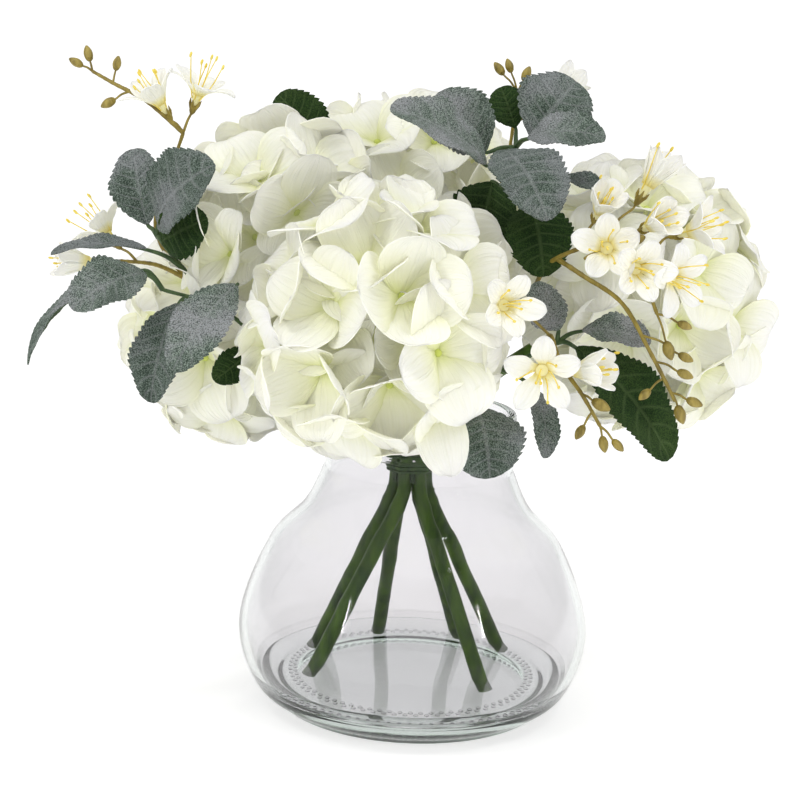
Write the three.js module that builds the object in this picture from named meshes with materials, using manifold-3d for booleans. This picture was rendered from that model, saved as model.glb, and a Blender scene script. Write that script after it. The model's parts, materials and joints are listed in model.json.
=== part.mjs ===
// Floral table centrepiece: five hydrangea heads, grey-green leafy stems and sprays of small
// white blossoms, bound with tape and stood in a shallow layer of clear set water in a squat
// glass vase. Millimetres, +Z up, origin at the centre of the vase's flat base, front at -Y.
import * as THREE from "three";
import { mergeVertices } from "three/addons/utils/BufferGeometryUtils.js";
import Module from "manifold-3d";

const wasm = await Module();
wasm.setup();

// ---------------------------------------------------------------- driving dimensions
const CLEARANCE = 0.35; // gap between pieces that touch
const VASE_SEGMENTS = 22;
const VASE_HEIGHT = 120;
const VASE_WALL = 3;
const VASE_FLOOR = 8; // thick pressed base
const NECK_RADIUS = 37.5;
const BELLY = { radius: 70, height: 34 };
const FOOT_RADIUS = 50;
const WATER_TOP = 16;

const STEM_RADIUS = 2.5;
const STEM_FOOT_GAP = 1.4; // lets a slanted stem end stand clear of the floor
const TIE = { x: -3, y: -4, low: 97, high: 109, stemRing: 6.6, pickRing: 9.2, innerRing: 1.9 };
const TAPE = { turns: 3, thickness: 0.9, ridge: 0.5, segments: 16 };
const PICK_RADIUS = 1.1; // wire stem of a leafy pick
const BRANCH_RADIUS = 0.95; // olive branch of a blossom spray

const PETAL_THICKNESS = 0.8;
const LEAF_THICKNESS = 0.8;

const WHITE = { color: 0xf1f1e6, roughness: 0.75, metalness: 0 };
const LEAF_GREY = { color: 0x6d7d77, roughness: 0.9, metalness: 0 };
const STEM_GREEN = { color: 0x3f6030, roughness: 0.5, metalness: 0 };
const BLOSSOM_CREAM = { color: 0xf2ebc9, roughness: 0.7, metalness: 0 };
const GLASS = { color: 0xe4efec, roughness: 0.05, metalness: 0, transparent: true, opacity: 0.35 };

const vec = (p) => new THREE.Vector3(...p);
const centrepiece = new THREE.Group();

// ---------------------------------------------------------------- solids and meshes
// A closed three.js geometry as a manifold solid, turned to face out.
function solid(geometry) {
  const bare = new THREE.BufferGeometry();
  bare.setAttribute("position", geometry.getAttribute("position"));
  bare.setIndex(geometry.getIndex());
  const merged = mergeVertices(bare, 1e-3);
  const triVerts = new Uint32Array(merged.index.array);
  const vertProperties = new Float32Array(merged.attributes.position.array);
  const make = () => new wasm.Manifold(new wasm.Mesh({ numProp: 3, vertProperties, triVerts }));
  const made = make();
  if (made.volume() > 0) return made;
  triVerts.reverse();
  return make();
}

const fuse = (solids) => solids.reduce((all, next) => all.add(next));

// The largest body of a solid: a cut can leave loose scraps beside it.
function largestBody(shape) {
  return shape.decompose().reduce((a, b) => (a.volume() > b.volume() ? a : b));
}

function addNode(name, shape, look) {
  const data = shape.getMesh();
  const geometry = new THREE.BufferGeometry();
  geometry.setAttribute("position", new THREE.BufferAttribute(data.vertProperties, 3));
  geometry.setIndex(new THREE.BufferAttribute(data.triVerts, 1));
  geometry.computeVertexNormals();
  const mesh = new THREE.Mesh(geometry, new THREE.MeshStandardMaterial(look));
  mesh.name = name;
  centrepiece.add(mesh);
  return mesh;
}

// A lathe about Z from [radius, z] pairs.
function turned(profile, segments) {
  const points = profile.map(([r, z]) => new THREE.Vector2(r, z));
  return solid(new THREE.LatheGeometry(points, segments).rotateX(Math.PI / 2));
}

// A round bar of `sides` along a smooth curve through the points.
function bar(points, radius, sides, steps) {
  const section = new THREE.Shape();
  for (let i = 0; i < sides; i++) {
    const angle = (2 * Math.PI * i) / sides;
    const corner = [radius * Math.cos(angle), radius * Math.sin(angle)];
    if (i === 0) section.moveTo(...corner);
    else section.lineTo(...corner);
  }
  const extrudePath = new THREE.CatmullRomCurve3(points.map(vec), false, "centripetal");
  return solid(new THREE.ExtrudeGeometry(section, { steps, extrudePath, bevelEnabled: false }));
}

// Vertex normals of an upper surface, from the faces that meet at each point.
function surfaceNormals(points, triangles) {
  const normals = points.map(() => new THREE.Vector3());
  for (const [a, b, c] of triangles) {
    const ab = points[b].clone().sub(points[a]);
    const face = ab.cross(points[c].clone().sub(points[a]));
    for (const corner of [a, b, c]) normals[corner].add(face);
  }
  return normals.map((n) => n.normalize());
}

const closed = (points, index) => solid(new THREE.BufferGeometry().setFromPoints(points).setIndex(index));

// The edge that joins an upper outline to the same outline on the underside.
const edgeStrip = (rim, under) =>
  rim.flatMap((a, i) => {
    const b = rim[(i + 1) % rim.length];
    return [a, a + under, b, b, a + under, b + under];
  });

// A thin closed blade from its upper surface: points, triangles and the outline's loop.
function blade(points, triangles, rim, thickness) {
  const normals = surfaceNormals(points, triangles);
  const below = points.map((p, i) => p.clone().addScaledVector(normals[i], -thickness));
  const under = points.length;
  const faces = triangles.flatMap(([a, b, c]) => [a, b, c, a + under, c + under, b + under]);
  return closed([...points, ...below], [...faces, ...edgeStrip(rim, under)]);
}

// Side faces between rings of points that follow each other down a stalk, and its end face.
function stalkFaces(first, sides, rings) {
  const index = [];
  for (let r = 0; r + 1 < rings; r++) {
    for (let j = 0; j < sides; j++) {
      const [top, nextTop] = [j, (j + 1) % sides].map((k) => first + r * sides + k);
      index.push(top + sides, nextTop + sides, nextTop, top + sides, nextTop, top);
    }
  }
  const last = first + (rings - 1) * sides;
  for (let j = 2; j < sides; j++) index.push(last, last + j, last + j - 1);
  return index;
}

// A flower: a thin sheet that fans out from its first point to its outline, on a stalk that
// runs down through `rings`, the first of them close under the sheet.
function trumpet(sheet, rings, thickness) {
  const count = sheet.length - 1;
  const rim = Array.from({ length: count }, (_, i) => i + 1);
  const next = (i) => rim[(i + 1) % count];
  const fan = rim.map((a, i) => [0, a, next(i)]);
  const normals = surfaceNormals(sheet, fan);
  const below = rim.map((i) => sheet[i].clone().addScaledVector(normals[i], -thickness));
  const sides = rings[0].length;
  const collar = 2 * count + 1;
  const index = [...fan.flat(), ...edgeStrip(rim, count)];
  rim.forEach((a, i) => {
    const here = Math.floor((sides * i) / count);
    const there = Math.floor((sides * (i + 1)) / count);
    index.push(collar + here, next(i) + count, a + count);
    if (there > here) index.push(collar + here, collar + (there % sides), next(i) + count);
  });
  const stalk = stalkFaces(collar, sides, rings.length);
  return closed([...sheet, ...below, ...rings.flat()], [...index, ...stalk]);
}

// A bud or stalk: from a point down through rings.
function spindle(tip, rings) {
  const sides = rings[0].length;
  const cap = rings[0].flatMap((_, j) => [0, 1 + j, 1 + ((j + 1) % sides)]);
  return closed([tip, ...rings.flat()], [...cap, ...stalkFaces(1, sides, rings.length)]);
}

// A ring of points round a centre, in the plane that `way` stands on.
function ring(centre, way, radius, sides, spin = 0) {
  const place = frameAt(centre, way, spin);
  return Array.from({ length: sides }, (_, j) => {
    const angle = (2 * Math.PI * (j + 0.5)) / sides;
    const corner = new THREE.Vector3(radius * Math.cos(angle), radius * Math.sin(angle), 0);
    return corner.applyMatrix4(place);
  });
}

// The matrix that puts a local frame at a point with its Z along `up`, turned by `spin` degrees.
function frameAt(point, up, spin) {
  const turn = new THREE.Quaternion().setFromUnitVectors(new THREE.Vector3(0, 0, 1), up);
  const twist = new THREE.Quaternion().setFromAxisAngle(up, THREE.MathUtils.degToRad(spin));
  return new THREE.Matrix4().compose(point, twist.multiply(turn), new THREE.Vector3(1, 1, 1));
}

// A steady number from 0 to 1 for each key, in place of a random draw.
function scatter(key) {
  const wave = Math.sin(key * 12.9898 + 4.1414) * 43758.5453;
  return wave - Math.floor(wave);
}

// ---------------------------------------------------------------- vase and water
// The outer wall from the foot to the neck, as one smooth curve of radius against height.
const outerWall = new THREE.SplineCurve(
  [
    [FOOT_RADIUS, 0],
    [64, 10],
    [BELLY.radius, BELLY.height],
    [59, 65],
    [45, 81],
    [NECK_RADIUS, 97],
  ].map((p) => new THREE.Vector2(...p)),
).getPoints(8);

// The inner wall lies one wall thickness inside it, from the floor up.
const innerWall = outerWall
  .map((p, i) => {
    const before = outerWall[Math.max(i - 1, 0)];
    const after = outerWall[Math.min(i + 1, outerWall.length - 1)];
    const along = after.clone().sub(before).normalize();
    return [p.x - along.y * VASE_WALL, p.y + along.x * VASE_WALL];
  })
  .filter(([, z]) => z > VASE_FLOOR + 2);

function vase() {
  const bore = NECK_RADIUS - VASE_WALL;
  const ridge = 39.4;
  const groove = 38;
  const lip = [
    [NECK_RADIUS, 107],
    [ridge, 109.5],
    [groove, 112],
    [ridge, 114.5],
    [groove, 117],
    [ridge - 0.6, VASE_HEIGHT - 1],
    [NECK_RADIUS, VASE_HEIGHT],
    [bore, VASE_HEIGHT - 1.5],
  ];
  const inside = innerWall.toReversed();
  const floorEdge = [FOOT_RADIUS + 2, VASE_FLOOR];
  const outside = outerWall.map((p) => [p.x, p.y]);
  return turned([[0, 0], ...outside, ...lip, ...inside, floorEdge, [0, VASE_FLOOR]], VASE_SEGMENTS);
}

// Clear set water: fills the bottom of the vase up to WATER_TOP.
function water() {
  const bottom = VASE_FLOOR + CLEARANCE;
  const wet = innerWall.filter(([, z]) => z < WATER_TOP);
  const dry = innerWall.find(([, z]) => z >= WATER_TOP);
  const last = wet.at(-1) ?? [FOOT_RADIUS + 2, VASE_FLOOR];
  const share = (WATER_TOP - last[1]) / (dry[1] - last[1]);
  const topRadius = last[0] + share * (dry[0] - last[0]);
  const side = wet.map(([r, z]) => [r - CLEARANCE, z]);
  const profile = [
    [0, bottom],
    [FOOT_RADIUS + 1.5, bottom],
    ...side,
    [topRadius - CLEARANCE, WATER_TOP],
    [0, WATER_TOP],
  ];
  return turned(profile, VASE_SEGMENTS);
}

// ---------------------------------------------------------------- stems and tie
const atTie = (angle, ring, z) => {
  const turn = THREE.MathUtils.degToRad(angle);
  return [TIE.x + ring * Math.cos(turn), TIE.y + ring * Math.sin(turn), z];
};

// The tape that binds the stems: a band round the whole bundle, wound in ridges.
function tie() {
  const inside = TIE.pickRing + PICK_RADIUS + 2 * CLEARANCE;
  const groove = inside + TAPE.thickness;
  const pitch = (TIE.high - TIE.low) / TAPE.turns;
  const windings = Array.from({ length: TAPE.turns }, (_, i) => [
    [groove, TIE.low + pitch * i],
    [groove + TAPE.ridge, TIE.low + pitch * (i + 0.5)],
  ]).flat();
  const start = [inside, TIE.low];
  const band = [start, ...windings, [groove, TIE.high], [inside, TIE.high], start];
  return turned(band, TAPE.segments).translate(TIE.x, TIE.y, 0);
}

// A stem's line from the vase's floor, in through the tie and out to its top end.
function stemLine({ foot, tieAngle, top }) {
  const low = atTie(tieAngle, TIE.stemRing, TIE.low - 3);
  const high = atTie(tieAngle, TIE.stemRing, TIE.high + 3);
  const floor = [...foot, VASE_FLOOR + STEM_FOOT_GAP];
  const halfway = floor.map((v, i) => v + 0.55 * (low[i] - v));
  const rise = high.map((v, i) => v + 0.4 * (top[i] - v) + (i === 2 ? 3 : 0));
  return [floor, halfway, low, high, rise, top];
}

// ---------------------------------------------------------------- hydrangea heads
// `facing` holds the florets that face the front: [right, up, lift] of the head's centre in mm;
// the rest, up to `florets` in all, fill the head by rule. `foot` is where its stem stands on
// the vase's floor and `tieAngle` where that stem passes through the tie.
const HEADS = {
  front: {
    centre: [-19, -62, 164],
    radius: 50,
    florets: 12,
    foot: [-41, -13],
    tieAngle: 245,
    facing: [
      [14, 5, 4],
      [22, 37, 1],
      [-21, -18, 3],
      [26, -28, 0],
      [-3, -43, 0],
      [-28, 20, 0],
    ],
  },
  upper_left: {
    centre: [-55, -28, 190],
    radius: 42,
    florets: 7,
    foot: [-41.5, 23],
    tieAngle: 185,
    facing: [
      [5, 8, 2],
      [-26, -6, 0],
      [-14, 32, 0],
    ],
  },
  left: {
    centre: [-79, 12, 146],
    radius: 42,
    florets: 8,
    foot: [-14.5, 45],
    tieAngle: 125,
    facing: [
      [-8, -4, 2],
      [0, -35, 0],
      [-36, 4, 0],
    ],
  },
  back: {
    centre: [-11, 45, 185],
    radius: 58,
    florets: 13,
    foot: [21, 42.5],
    tieAngle: 65,
    facing: [[-6, 52, 0]],
  },
  right: {
    centre: [81, 8, 168],
    radius: 53,
    florets: 13,
    foot: [39, 27],
    tieAngle: 5,
    facing: [
      [-4, -14, 0],
      [36, -6, 0],
      [16, 24, 0],
      [24, -38, 0],
      [-14, 44, 0],
    ],
  },
};
const CORE_SHARE = 0.27; // radius of a head's green core against the head's
const HEAD_GAP = 1.4; // half the gap between two heads that press together
const PRESS_ZONE = 12; // depth over which petals bend away from a neighbouring head
const SEAM = 6; // no floret has its centre this near to a neighbouring head
const FLORET = { petal: 23, width: 24, cup: 8, rim: 2.4 };
const FREE_PLACES = 300; // places tried on a head, on a golden-angle spiral
const TIE_POINT = vec([0, 0, 112]); // heads have no florets on the side that faces this
const BARE_ANGLE = 50;
const SOCKET = 5; // how far a stem reaches into its head's core

// The planes midway between a head and those that press on it: a normal and a distance each.
function dividers(name) {
  const { centre, radius } = HEADS[name];
  return Object.entries(HEADS)
    .filter(([other]) => other !== name)
    .map(([, other]) => {
      const across = vec(other.centre).sub(vec(centre));
      const apart = across.length();
      const reach = (apart ** 2 + radius ** 2 - other.radius ** 2) / (2 * apart) - HEAD_GAP;
      return { normal: across.normalize(), reach };
    })
    .filter(({ reach }) => reach < radius);
}

// Bends a point back so that it stays on its own head's side of every divider.
function pressBack(point, centre, radius, walls) {
  for (const { normal, reach } of walls) {
    const past = point.clone().sub(centre).dot(normal) - reach + PRESS_ZONE;
    if (past <= 0) continue;
    const most = radius + 2 - reach + PRESS_ZONE;
    point.addScaledVector(normal, past * (PRESS_ZONE / most) - past);
  }
  return point;
}

// One floret's upper surface: four broad petals as a single cupped sheet round a sunk centre.
function floretSheet(petal, cup) {
  const points = [new THREE.Vector3()];
  const outline = [
    [0.5, -0.43],
    [0.93, -0.3],
    [0.96, 0.26],
    [0.54, 0.44],
  ];
  const put = (along, side, angle, edge) => {
    const r = Math.hypot(along, side);
    const turn = angle + Math.atan2(side, along);
    const rise = cup * (r / petal) ** 2 + FLORET.rim * edge;
    points.push(new THREE.Vector3(r * Math.cos(turn), r * Math.sin(turn), rise));
  };
  for (let k = 0; k < 4; k++) {
    const angle = (k * Math.PI) / 2;
    put(petal * 0.3, 0, angle - Math.PI / 4, 0.3);
    for (const [s, w] of outline) put(petal * s, FLORET.width * w, angle, 1);
  }
  return points;
}

// Where a head's florets face: those placed by hand, then again and again the free place that
// is furthest from all of them, but none that faces the tie or lies behind a divider.
function floretsOf(name) {
  const { centre, radius, facing, florets: count } = HEADS[name];
  const middle = vec(centre);
  const walls = dividers(name);
  const toTie = TIE_POINT.clone().sub(middle).normalize();
  const florets = facing.map(([x, z, lift]) => {
    const way = new THREE.Vector3(x, -Math.sqrt(radius ** 2 - x * x - z * z), z).normalize();
    return { way, lift };
  });
  const open = Array.from({ length: FREE_PLACES }, (_, i) => {
    const height = 1 - (2 * i + 1) / FREE_PLACES;
    const round = i * Math.PI * (3 - Math.sqrt(5));
    const level = Math.sqrt(1 - height ** 2);
    return new THREE.Vector3(level * Math.cos(round), level * Math.sin(round), height);
  }).filter((way) => {
    const bare = way.angleTo(toTie) < THREE.MathUtils.degToRad(BARE_ANGLE);
    return !bare && walls.every(({ normal, reach }) => way.dot(normal) * radius < reach - SEAM);
  });
  const room = (way) => Math.min(...florets.map((f) => radius * way.distanceTo(f.way)));
  while (florets.length < count) {
    const way = open.reduce((a, b) => (room(b) > room(a) ? b : a));
    florets.push({ way, lift: 0 });
  }
  return florets;
}

function hydrangea(name) {
  const { centre, radius } = HEADS[name];
  const middle = vec(centre);
  const walls = dividers(name);
  const press = (point) => pressBack(point, middle, radius, walls);
  const coreRadius = radius * CORE_SHARE;
  const core = new THREE.IcosahedronGeometry(coreRadius, 1).translate(...centre);
  const at = core.getAttribute("position");
  for (let i = 0; i < at.count; i++) {
    at.setXYZ(i, ...press(new THREE.Vector3().fromBufferAttribute(at, i)));
  }
  const florets = floretsOf(name).map(({ way, lift }, k) => {
    const cup = FLORET.cup * (0.7 + 0.7 * scatter(k + radius));
    const petal = FLORET.petal * (0.94 + 0.1 * scatter(k + 7 * radius));
    const base = Math.sqrt(radius ** 2 - petal ** 2) - cup - FLORET.rim + lift;
    const spin = 90 * scatter(3 * k + radius);
    const place = frameAt(middle.clone().addScaledVector(way, base), way, spin);
    const sheet = floretSheet(petal, cup).map((point) => press(point.applyMatrix4(place)));
    const rings = [
      [base - 1.5, 1.5],
      [coreRadius - 3, 2],
    ].map(([height, r]) => ring(middle.clone().addScaledVector(way, height), way, r, 3, spin).map(press));
    return trumpet(sheet, rings, PETAL_THICKNESS);
  });
  return fuse([solid(core), ...florets]);
}

function headStemLine({ centre, radius, foot, tieAngle }) {
  const middle = vec(centre);
  const down = vec(atTie(tieAngle, TIE.stemRing, TIE.high + 20)).sub(middle);
  const top = middle.clone().add(down.setLength(radius * CORE_SHARE - SOCKET)).toArray();
  return stemLine({ foot, tieAngle, top });
}

// ---------------------------------------------------------------- leaves
// A toothed oval leaf, folded along its midrib and curled along an arc of `curl` degrees, with
// its upper side to `face`. A flat stalk joins its root to the stem at `from`.
function leaf({ from, root, tip, face, width, curl }) {
  const teeth = 3;
  const fold = 0.25;
  const stalkWidth = 1.8;
  const chord = vec(tip).sub(vec(root));
  const bend = THREE.MathUtils.degToRad(curl);
  const length = (chord.length() * bend) / (2 * Math.sin(bend / 2));
  const x = chord.normalize();
  const y = vec(face).cross(x).normalize();
  const frame = new THREE.Matrix4().makeBasis(x, y, x.clone().cross(y)).setPosition(...root);
  const points = [];
  const put = (s, across) => {
    const half = (width / 2) * Math.sin(Math.PI * s ** 0.85) ** 0.7;
    const angle = bend * s - bend / 2;
    const along = (length * (Math.sin(angle) + Math.sin(bend / 2))) / bend;
    const up = (length * (Math.cos(angle) - Math.cos(bend / 2))) / bend;
    const place = new THREE.Vector3(along, across * half, up + fold * Math.abs(across) * half);
    return { s, id: points.push(place.applyMatrix4(frame)) - 1 };
  };
  const stalkWay = vec(root).sub(vec(from)).normalize();
  const stalkSide = y.clone().addScaledVector(stalkWay, -y.dot(stalkWay)).setLength(stalkWidth / 3);
  const beside = (place, side, sign) => points.push(vec(place).addScaledVector(side, sign)) - 1;
  const foot = [-1, 1].map((sign) => beside(from, stalkSide, sign));
  const neck = [-1, 1].map((sign) => ({ s: 0, id: beside(root, y, (sign * stalkWidth) / 2) }));
  const rib = [put(0.33, 0), put(0.67, 0), put(1, 0)];
  const [right, left] = [-1, 1].map((sign, k) => {
    const edge = Array.from({ length: 2 * teeth - 1 }, (_, i) => {
      const tooth = i % 2 === 0;
      return put((i + 1 + (tooth ? 0.25 : -0.1)) / (2 * teeth), sign * (tooth ? 1 : 0.86));
    });
    return [neck[k], ...edge, rib.at(-1)];
  });
  const triangles = [
    [foot[0], neck[0].id, neck[1].id],
    [foot[0], neck[1].id, foot[1]],
    [neck[0].id, rib[0].id, neck[1].id],
  ];
  const stitch = (edge, flip) => {
    let i = 0;
    let j = 0;
    while (i < edge.length - 1 || j < rib.length - 1) {
      const onEdge = j === rib.length - 1 || (i < edge.length - 1 && edge[i + 1].s <= rib[j + 1].s);
      const here = onEdge ? edge[i] : rib[j];
      const next = onEdge ? edge[++i] : rib[++j];
      const corners = onEdge ? [here.id, next.id, rib[j].id] : [here.id, edge[i].id, next.id];
      if (new Set(corners).size === 3) triangles.push(flip ? corners.toReversed() : corners);
    }
  };
  stitch(right, false);
  stitch(left, true);
  const round = [...right, ...left.slice(0, -1).toReversed()].map((p) => p.id);
  const rim = [foot[0], ...round, foot[1]];
  return blade(points, triangles, rim, LEAF_THICKNESS);
}

// Leafy stems. `line` goes on from the tie; `forks` are side branches, each from its first
// point. A leaf's `from` is the point of the stem that its stalk grows from.
const LEAFY_STEMS = {
  left: {
    tie: [215, TIE.pickRing],
    line: [[-30, -19, 128], [-56, -36, 146], [-75, -57, 165], [-94, -62, 171]],
    forks: [[[-75, -57, 165], [-88, -54, 178], [-98, -47, 188]]],
    leaves: [
      {
        from: [-94, -62, 171], root: [-100, -62, 178], tip: [-141, -66, 143],
        face: [-0.7, 0, 0.7], width: 15, curl: 95,
      },
      {
        from: [-94, -62, 171], root: [-99, -66, 177], tip: [-122, -84, 166],
        face: [0, -0.7, 0.7], width: 22, curl: 60,
      },
      {
        from: [-84, -59, 168], root: [-88, -64, 166], tip: [-96, -74, 133],
        face: [-0.3, -1, 0.2], width: 26, curl: 35,
      },
      {
        from: [-75, -57, 165], root: [-76, -74, 170], tip: [-86, -90, 144],
        face: [-0.2, -1, 0.3], width: 21, curl: 45,
      },
      {
        from: [-56, -36, 146], root: [-63, -42, 148], tip: [-77, -46, 136],
        face: [0.5, -1, 0.6], width: 13, curl: 30,
      },
      {
        from: [-88, -54, 178], root: [-100, -58, 185], tip: [-134, -60, 182],
        face: [0, -0.3, 1], width: 12, curl: 30,
      },
      {
        from: [-98, -47, 188], root: [-102, -46, 192], tip: [-108, -40, 219],
        face: [-0.2, -1, 0.1], width: 21, curl: 30,
      },
      {
        from: [-98, -47, 188], root: [-98, -50, 192], tip: [-76, -74, 214],
        face: [-0.6, -0.7, 0.6], width: 25, curl: 50,
      },
      {
        from: [-98, -47, 188], root: [-96, -54, 188], tip: [-80, -66, 200],
        face: [-0.2, -0.9, 0.3], width: 18, curl: 25,
      },
    ],
  },
  top_left: {
    tie: [210, TIE.innerRing],
    line: [[-18, 4, 136], [-34, 4, 176], [-40, 4, 212]],
    forks: [],
    leaves: [
      {
        from: [-40, 4, 212], root: [-40, 4, 220], tip: [-60, 6, 240],
        face: [-0.3, -1, 0.2], width: 22, curl: 30,
      },
      {
        from: [-40, 4, 212], root: [-46, 12, 220], tip: [-74, 24, 222],
        face: [-0.3, 0.2, 1], width: 22, curl: 40,
      },
    ],
  },
  top: {
    tie: [330, TIE.innerRing],
    line: [[10, -7, 150], [23, -14, 182], [29, -20, 206], [31, -20, 224]],
    forks: [],
    leaves: [
      {
        from: [31, -20, 224], root: [20, -36, 218], tip: [-16, -50, 237],
        face: [0.2, -0.6, 0.8], width: 25, curl: 45,
      },
      {
        from: [31, -20, 224], root: [20, -24, 222], tip: [0, -28, 242],
        face: [0.3, -1, 0.3], width: 26, curl: 35,
      },
      {
        from: [31, -20, 224], root: [31, -14, 231], tip: [25, -8, 246],
        face: [-0.2, -1, 0.3], width: 15, curl: 25,
      },
      {
        from: [31, -20, 224], root: [36, -20, 228], tip: [53, -12, 249],
        face: [-0.2, -1, 0.4], width: 31, curl: 40,
      },
      {
        from: [31, -20, 224], root: [34, -32, 228], tip: [62, -40, 229],
        face: [0, -0.7, 0.8], width: 19, curl: 50,
      },
      {
        from: [29, -20, 206], root: [25, -44, 224], tip: [40, -70, 201],
        face: [0.2, -0.8, 0.6], width: 29, curl: 50,
      },
      {
        from: [29, -20, 206], root: [27, -30, 210], tip: [21, -34, 183],
        face: [0.2, -1, 0.1], width: 24, curl: 25,
      },
      {
        from: [29, -20, 206], root: [46, -29, 214], tip: [70, -33, 206],
        face: [0.3, -0.5, 1], width: 13, curl: 40,
      },
    ],
  },
  right: {
    tie: [275, TIE.pickRing],
    line: [[7, -30, 131], [28, -42, 144], [48, -46, 155]],
    forks: [[[7, -30, 131], [16, -48, 137], [22, -63, 138]]],
    leaves: [
      {
        from: [48, -46, 155], root: [54, -52, 155], tip: [89, -64, 117],
        face: [0.4, -0.9, 0.4], width: 25, curl: 40,
      },
      {
        from: [48, -46, 155], root: [48, -50, 160], tip: [38, -56, 178],
        face: [-0.2, -1, 0.2], width: 15, curl: 30,
      },
      {
        from: [48, -46, 155], root: [56, -52, 161], tip: [80, -60, 158],
        face: [0.2, -0.6, 0.8], width: 17, curl: 40,
      },
      {
        from: [22, -63, 138], root: [23, -70, 135], tip: [28, -78, 111],
        face: [0.1, -1, 0.2], width: 27, curl: 45,
      },
      {
        from: [28, -42, 144], root: [38, -62, 140], tip: [41, -70, 117],
        face: [0.6, -1, 0.2], width: 11, curl: 40,
      },
    ],
  },
  back_right: {
    tie: [35, TIE.pickRing],
    line: [[20, 20, 136], [38, 42, 156], [50, 60, 172]],
    forks: [],
    leaves: [
      {
        from: [50, 60, 172], root: [54, 64, 177], tip: [66, 80, 204],
        face: [0.5, 0.8, -0.2], width: 25, curl: 40,
      },
      {
        from: [50, 60, 172], root: [56, 64, 170], tip: [92, 74, 166],
        face: [0.2, 0.8, 0.6], width: 24, curl: 45,
      },
      {
        from: [50, 60, 172], root: [50, 66, 168], tip: [52, 90, 138],
        face: [0.2, 0.8, 0.5], width: 25, curl: 45,
      },
      {
        from: [38, 42, 156], root: [32, 58, 132], tip: [22, 82, 112],
        face: [0, 0.8, 0.5], width: 22, curl: 45,
      },
    ],
  },
  back_left: {
    tie: [95, TIE.pickRing],
    line: [[-22, 24, 134], [-44, 46, 148], [-60, 62, 152]],
    forks: [],
    leaves: [
      {
        from: [-60, 62, 152], root: [-66, 66, 157], tip: [-88, 80, 184],
        face: [-0.6, 0.8, -0.1], width: 25, curl: 40,
      },
      {
        from: [-60, 62, 152], root: [-68, 66, 150], tip: [-102, 76, 136],
        face: [-0.4, 0.8, 0.6], width: 24, curl: 45,
      },
      {
        from: [-60, 62, 152], root: [-60, 70, 148], tip: [-56, 92, 120],
        face: [0, 0.8, 0.5], width: 25, curl: 45,
      },
    ],
  },
};

const BAR_STEPS = 1.5; // steps of a branch's bar for each point of its line

// The branches of a leafy stem or spray, as bars. One that starts in the tie comes up through it.
function branches({ tie: at, line, forks }, radius, sides) {
  const start = at ? [TIE.low - 4, TIE.high + 4].map((z) => atTie(...at, z)) : [];
  const steps = (points) => Math.ceil(BAR_STEPS * points.length);
  return [[...start, ...line], ...forks].map((points) => bar(points, radius, sides, steps(points)));
}

const leafyStem = (stem) => fuse([...branches(stem, PICK_RADIUS, 4), ...stem.leaves.map(leaf)]);

// ---------------------------------------------------------------- sprays of small blossoms
const BLOSSOM = { petal: 14.5, width: 9, tube: 7, flare: 4 };
const BUD = { length: 6.5, radius: 2 };
const SIDE_STALK = 0.75; // radius of the stalk under a blossom or bud

// A five-petalled blossom that opens along `way` from its calyx at `at`, on a stalk from `from`.
function blossom({ from, at, way }) {
  const axis = vec(way).normalize();
  const place = frameAt(vec(at), axis, 40 * at[0]);
  const sheet = [new THREE.Vector3(0, 0, BLOSSOM.tube)];
  const put = (r, angle, z) =>
    sheet.push(new THREE.Vector3(r * Math.cos(angle), r * Math.sin(angle), BLOSSOM.tube + z));
  const step = (2 * Math.PI) / 5;
  const spread = Math.atan2(BLOSSOM.width / 2, BLOSSOM.petal * 0.8);
  for (let k = 0; k < 5; k++) {
    put(BLOSSOM.petal * 0.25, (k - 0.5) * step, 1);
    put(BLOSSOM.petal * 0.85, k * step - spread, BLOSSOM.flare);
    put(BLOSSOM.petal * 0.95, k * step + spread, BLOSSOM.flare);
  }
  for (const point of sheet) point.applyMatrix4(place);
  const stalkWay = vec(at).sub(vec(from)).normalize();
  const rings = [
    ring(vec(at).addScaledVector(axis, BLOSSOM.tube - 1.2), axis, 2, 3),
    ring(vec(at), axis.clone().add(stalkWay).normalize(), 1, 3),
    ring(vec(from), stalkWay, SIDE_STALK, 3),
  ];
  return trumpet(sheet, rings, PETAL_THICKNESS);
}

// A pointed bud at the end of its side stalk.
function bud({ from, at }) {
  const way = vec(at).sub(vec(from)).normalize();
  const on = (d) => vec(at).addScaledVector(way, d);
  return spindle(on(BUD.length), [
    ring(on(BUD.length * 0.4), way, BUD.radius, 3),
    ring(on(0), way, SIDE_STALK, 3),
    ring(vec(from), way, SIDE_STALK, 3),
  ]);
}

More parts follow.
